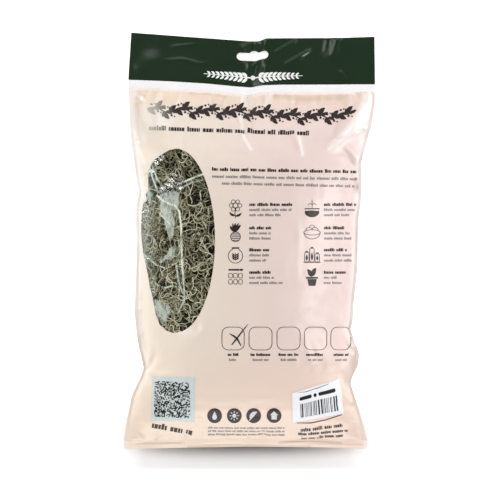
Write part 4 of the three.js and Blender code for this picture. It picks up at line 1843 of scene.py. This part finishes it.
class MOSSBAG_OT_header_print(bpy.types.Operator):
    """Prints a small white sprig on the header"""

    bl_idname = "moss_bag.header_print"
    bl_label = "Header Print"

    def execute(self, context):
        header = header_shape()

        def place(spots, share):
            a, c = np.array([header.flat_place(spot) for spot in spots]).T
            here, step = header.at(a, c), 0.4
            n = np.cross(header.at(a + step, c) - here, header.at(a, c + step) - here)
            return here + n / np.linalg.norm(n, axis=-1, keepdims=True) * (PLY_OUTSIDE + 0.2 * share)

        white = Ink(place)
        x, line = 4.5, ((-46, 167.4), (-20, 165.2), (4, 162.6), (22, 164.6), (55, 165.2))
        stem = np.linspace(-45, 54, 90)
        width = np.interp(np.abs(stem - x), [0, 50], [1.3, 0.5])
        white.strip(side_by_side(stem, curve(line, stem)), width)
        for side in (-1, 1):
            for k in range(9):
                foot = np.array([x + side * (6 + 4.6 * k), 0.0])
                foot[1] = curve(line, foot[0])
                size = 5.6 * (1 - 0.05 * k)
                for up in (-1, 1):
                    white.leaf(foot, foot + (side * size, up * size * 0.85), size * 0.55, 0.1 * side * up)
        white.disc((x, 163.0), 2.4)
        white.finish("print_header_sprig", "white_ink", "white_film")
        return {"FINISHED"}


# ---- Label


class MOSSBAG_OT_label(bpy.types.Operator):
    """Sticks the paper label with its stripes to the front film"""

    bl_idname = "moss_bag.label"
    bl_label = "Label"

    def execute(self, context):
        sheet, film = bag_shape().front_sheet, bag_shape().front
        corners = np.array([(43.4, -152.0), (91.0, -138.2), (95.4, -172.4), (44.2, -181.6)])
        width, height = 50.0, 32.0

        def on_label(lift, step):
            """Places over the label, in millimetres to the right of and below its upper left corner."""

            def place(spots, share):
                u, v = spots[:, :1] / width, spots[:, 1:] / height
                upper, lower = (corners[i] * (1 - u) + corners[j] * u for i, j in ((0, 1), (3, 2)))
                a, b = film.flat_place(upper * (1 - v) + lower * v).T
                return sheet.on(a, b, lift + step * share)

            return place

        paper = Ink(on_label(0.18, 0.22))
        paper.strip([(width, height / 2), (0, height / 2)], height)
        paper.finish("barcode_label_paper", "label_paper", "label_paper", "barcode_label")

        rng = np.random.default_rng(5)
        stripes = Ink(on_label(0.40, 0.06))
        x, end, broad = 8.0, 44, (9, 11.5, 25.5, 28.5, 40.5, 43.5)
        while x < end:
            is_broad = min(abs(x - place) for place in broad) < 0.8
            wide = 1.5 if is_broad else rng.choice([0.45, 0.8], p=[0.6, 0.4])
            stripes.strip([(x + wide / 2, 28.5), (x + wide / 2, 14)], wide)
            x += wide + rng.choice([0.6, 0.9, 1.4])
        for start, end in ((7.5, 20), (22, 25), (27, 44)):
            line = [(x, 8.6) for x in (end, end - 0.8, start + 0.8, start)]
            stripes.strip(line, [1.8, 3.6, 3.6, 1.8])
        stripes.strip([(6.8, 0.9), (14.3, 2.8), (26, 2.4), (38, 1.2)], [0.3, 0.6, 0.6, 0.4])
        stripes.finish("barcode_label_stripes", "black_ink", "label_paper")

        below = film_ink()
        below.strip([(48.5, -182.2), (62, -181.8), (78, -178.8), (93, -173.6)], [0.5, 0.9, 0.9, 0.8])
        for start, end, height in (
            ((52.2, -189.3), (93.5, -184.7), 2.6),
            ((49.7, -193.4), (98.6, -189.8), 2.1),
            ((52.7, -197.2), (95.1, -194.6), 2.1),
        ):
            below.words(start, end, height, rng, 4, 11)
        below.finish("print_label_lines", "dark_ink")
        return {"FINISHED"}


# ---- Moss


FILM_CLEARANCE = 0.9  # between the strands and the films
LOWEST_MOSS, HIGHEST_MOSS = 14, 0.89  # where the bunch starts, and its other end as a share of the length
WINDOW_REACH, BODY_REACH = 0.985, 0.94  # shares of the way to the side welds
FORK_POINTS = 8
# Layers behind the window: name, share of the strands, from and to which depth, tone, and forks to a strand.
# Deeper layers have lower tones: painted shade within the bunch.
WINDOW_MOSS = (
    ("moss_upper", 0.24, 1.2, 6.0, 0.70, 1.1),
    ("moss_middle", 0.30, 5.0, 13.0, 0.0, 0.5),
    ("moss_deep", 0.40, 10.0, 30.0, -0.1, 0.2),
)


def strand_tree():
    """Geometry nodes that turn lines into strands: radius in metres times each point's girth, and sides."""
    tree = bpy.data.node_groups.new("strands", "GeometryNodeTree")
    sockets = {}
    for name, kind, direction in (
        ("Geometry", "Geometry", "INPUT"),
        ("Radius", "Float", "INPUT"),
        ("Sides", "Int", "INPUT"),
        ("Material", "Material", "INPUT"),
        ("Strands", "Geometry", "OUTPUT"),
    ):
        socket = tree.interface.new_socket(name, in_out=direction, socket_type="NodeSocket" + kind)
        sockets[name] = socket.identifier
    kinds = (
        "NodeGroupInput NodeGroupOutput GeometryNodeMeshToCurve GeometryNodeInputNamedAttribute "
        "GeometryNodeSetCurveRadius GeometryNodeCurvePrimitiveCircle GeometryNodeCurveToMesh "
        "GeometryNodeSetShadeSmooth GeometryNodeRealizeInstances GeometryNodeSetMaterial"
    )
    given, result, curves, girth, thick, ring, tube, smooth, real, paint = map(tree.nodes.new, kinds.split())
    girth.data_type = "FLOAT"
    girth.inputs["Name"].default_value = "girth"
    tube.inputs["Fill Caps"].default_value = True
    for source, socket, target, target_socket in (
        (given, "Geometry", curves, "Mesh"),
        (curves, "Curve", thick, "Curve"),
        (girth, "Attribute", thick, "Radius"),
        (thick, "Curve", tube, "Curve"),
        (given, "Sides", ring, "Resolution"),
        (given, "Radius", ring, "Radius"),
        (ring, "Curve", tube, "Profile Curve"),
        (tube, "Mesh", smooth, "Geometry"),
        (smooth, "Geometry", real, "Geometry"),
        (real, "Geometry", paint, "Geometry"),
        (given, "Material", paint, "Material"),
        (paint, "Geometry", result, "Strands"),
    ):
        tree.links.new(source.outputs[socket], target.inputs[target_socket])
    return tree, sockets


class Strands:
    """Curly strands between the front and back film, as lines of points."""

    CURL_EVERY, DEPTH_EVERY = 4, 5  # points between two random curls, and between two random depths
    DEPTH_SWING = 1.6  # how far a strand wanders up and down
    TIP = 0.35  # the share of its girth that a strand keeps at its ends

    def __init__(self, rng):
        self.rng = rng
        self.lines = []  # per batch: flat places, depth share, tone and girth, each strands by points

    def smooth_noise(self, count, points, every):
        """Random numbers that change smoothly along each strand, one new one after every so many points."""
        knots = self.rng.normal(0, 1, (count, points // every + 3))
        at = np.arange(points) / every + self.rng.random((count, 1))
        low = at.astype(int)
        f = ease(at - low)
        rows = np.arange(count)[:, None]
        return knots[rows, low] * (1 - f) + knots[rows, low + 1] * f

    def grow(self, start, heading, depth, points, step, curl, tone, girth):
        """Strands that wander from their starts with random curls, at about this depth in millimetres."""
        count = len(heading)
        curls = self.smooth_noise(count, points, self.CURL_EVERY) * curl * step
        turn = heading[:, None] + np.cumsum(curls, axis=1)
        a = start[:, :1] + np.cumsum(step * np.cos(turn), axis=1)
        b = start[:, 1:] + np.cumsum(step * np.sin(turn), axis=1)
        deep = depth[:, None] + self.smooth_noise(count, points, self.DEPTH_EVERY) * self.DEPTH_SWING
        along = np.linspace(0, 1, points)
        taper = np.clip(np.minimum(along, 1 - along) * 9 + self.TIP, 0, 1)
        self.lines.append((a, b, deep, np.broadcast_to(tone[:, None], a.shape), girth[:, None] * taper))
        return a, b, deep, turn

    def with_forks(self, start, depth, tone, points, step, curl, share):
        """Strands with thin side shoots that leave them at a sharp angle."""
        rng, count = self.rng, len(start)
        tone = np.clip(rng.normal(tone, 0.2, count), 0, 1)
        girth = rng.uniform(0.75, 1.15, count)
        heading = rng.uniform(0, 2 * math.pi, count)
        a, b, deep, turn = self.grow(start, heading, depth, points, step, curl, tone, girth)
        forks = round(count * share)
        parent, joint = rng.integers(0, count, forks), rng.integers(3, points - 2, forks)
        fork_start = side_by_side(a[parent, joint], b[parent, joint])
        lean = turn[parent, joint] + rng.choice([-1, 1], forks) * rng.uniform(0.4, 0.9, forks)
        pale, thin = np.clip(tone[parent] + 0.1, 0, 1), girth[parent] * 0.7
        self.grow(fork_start, lean, deep[parent, joint], FORK_POINTS, step, curl * 0.8, pale, thin)

    def finish(self, name, reach, tree, sockets):
        """One piece of moss, whose strands reach this share of the way to the side welds."""
        shape, moss = bag_shape(), bpy.context.scene.moss_bag_moss
        points, edges, first = [], [], 0
        clear = FILM_CLEARANCE + mm(moss.radius)
        for a, b, deep, _, _ in self.lines:
            a = bounce(a, -reach * shape.half, reach * shape.half)
            b = bounce(b, LOWEST_MOSS, HIGHEST_MOSS * shape.length)
            top, bottom = shape.front_sheet.on(a, b, -clear), shape.back_sheet.on(a, b, -clear)
            room = top[..., 2] - bottom[..., 2]
            share = np.where(room > 0, np.clip((deep - clear) / np.maximum(room, 1e-3), 0, 1), 0.5)
            points.append((top + (bottom - top) * share[..., None]).reshape(-1, 3))
            ids = first + np.arange(a.size).reshape(a.shape)
            edges.append(side_by_side(ids[:, :-1], ids[:, 1:]).reshape(-1, 2))
            first += a.size
        points = (np.concatenate(points) * MM).tolist()
        mesh = new_mesh(name + "_lines", points, np.concatenate(edges).tolist(), [])
        lines = add_object(name + "_lines", mesh)
        tone, girth = (np.concatenate([np.ravel(line[i]) for line in self.lines]) for i in (3, 4))
        write_marks(lines, tone=tone, girth=girth)
        modifier = lines.modifiers.new("strands", "NODES")
        modifier.node_group = tree
        for key, value in (("Radius", moss.radius), ("Sides", 3), ("Material", material("dried_moss"))):
            modifier[sockets[key]] = value
        made = bpy.data.meshes.new_from_object(lines.evaluated_get(bpy.context.evaluated_depsgraph_get()))
        bpy.data.objects.remove(lines)
        bpy.data.meshes.remove(mesh)
        made.name = name
        show(name, made, "dried_moss", "moss_bunch")


def bounce(x, low, high):
    """x, turned back where it passes low or high."""
    x = np.where(x < low, 2 * low - x, x)
    return np.clip(np.where(x > high, 2 * high - x, x), low, high)


class MOSSBAG_OT_moss(bpy.types.Operator):
    """Grows the bunch of moss: curly strands, most of them behind the window"""

    bl_idname = "moss_bag.moss"
    bl_label = "Moss"

    def execute(self, context):
        moss, window = context.scene.moss_bag_moss, context.scene.moss_bag_window
        shape = bag_shape()
        rng = np.random.default_rng(moss.seed)
        middle = shape.front.flat_place([mm(window.seen_x), mm(window.seen_y)])
        size = np.array([mm(window.half_width), mm(window.half_length)])
        strand_maker = strand_tree()
        for name, share, low, high, tone, forks in WINDOW_MOSS:
            strands = Strands(rng)
            count = round(moss.window_strands * share)
            turn, reach = rng.uniform(0, 2 * math.pi, count), 1.15 * np.sqrt(rng.random(count))
            start = middle + size * side_by_side(reach * np.cos(turn), reach * np.sin(turn))
            start += rng.normal(0, 4, (count, 2))
            depth = rng.uniform(low, high, count)
            strands.with_forks(start, depth, tone, points=32, step=1.8, curl=0.24, share=forks)
            strands.finish(name, WINDOW_REACH, *strand_maker)
        strands = Strands(rng)
        count = moss.body_strands
        a, b = rng.uniform(-0.9, 0.9, count) * shape.half, rng.uniform(0.05, 0.86, count) * shape.length
        depth = rng.uniform(5, 74, count)
        # The strands inside the bag get the darkest tone as painted shade.
        strands.with_forks(side_by_side(a, b), depth, -0.1, points=30, step=3.0, curl=0.12, share=0.3)
        strands.finish("moss_inside_bag", BODY_REACH, *strand_maker)
        bpy.data.node_groups.remove(strand_maker[0])
        return {"FINISHED"}


OPERATORS = [
    MOSSBAG_OT_stage,
    MOSSBAG_OT_film,
    MOSSBAG_OT_welds,
    MOSSBAG_OT_header,
    MOSSBAG_OT_print,
    MOSSBAG_OT_header_print,
    MOSSBAG_OT_label,
    MOSSBAG_OT_moss,
]


class MOSSBAG_PT_panel(bpy.types.Panel):
    """Lists the steps of building the bag"""

    bl_idname = "MOSSBAG_PT_panel"
    bl_label = "Moss Bag"
    bl_space_type = "VIEW_3D"
    bl_region_type = "UI"
    bl_category = "Moss Bag"

    def draw(self, context):
        for operator in OPERATORS:
            self.layout.operator(operator.bl_idname)
        for name in GROUPS:
            settings = getattr(context.scene, name)
            box = self.layout.box()
            for key in settings.__annotations__:
                box.prop(settings, key)


def register():
    for kind in (*GROUPS.values(), *OPERATORS, MOSSBAG_PT_panel):
        bpy.utils.register_class(kind)
    for name, group in GROUPS.items():
        setattr(bpy.types.Scene, name, PointerProperty(type=group))


def unregister():
    for name in GROUPS:
        delattr(bpy.types.Scene, name)
    for kind in (MOSSBAG_PT_panel, *reversed(OPERATORS), *reversed(GROUPS.values())):
        bpy.utils.unregister_class(kind)


def declare_sheets():
    """Works out the films' flat sizes and gathers the print pieces; nothing is done with them."""
    scene, pieces = bpy.context.scene, bpy.data.objects
    film, window, header = scene.moss_bag_film, scene.moss_bag_window, scene.moss_bag_header
    marks = [piece for piece in pieces if piece.name.startswith(("print_", "barcode_"))]
    marks.remove(pieces["print_header_sprig"])
    cut, pane = (film.flat_width, film.flat_length), (2.1 * window.half_width, 2.1 * window.half_length)
    oval = math.pi / 4 * pane[0] * pane[1]
    flap = (film.flat_width, header.length - header.weld_length)
    area = cut[0] * cut[1] - oval
    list(marks)
    for name, marks in (("header_front_green", ["print_header_sprig"]), ("header_back_green", [])):
        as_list(marks)


def main():
    register()
    for operator in OPERATORS:
        group, name = operator.bl_idname.split(".")
        getattr(getattr(bpy.ops, group), name)()
    declare_sheets()
    boxes = {"cad": CAD_BOX, "visual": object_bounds()}
    {key: [[float(x) for x in corner] for corner in box] for key, box in boxes.items()}


if __name__ == "__main__":
    main()
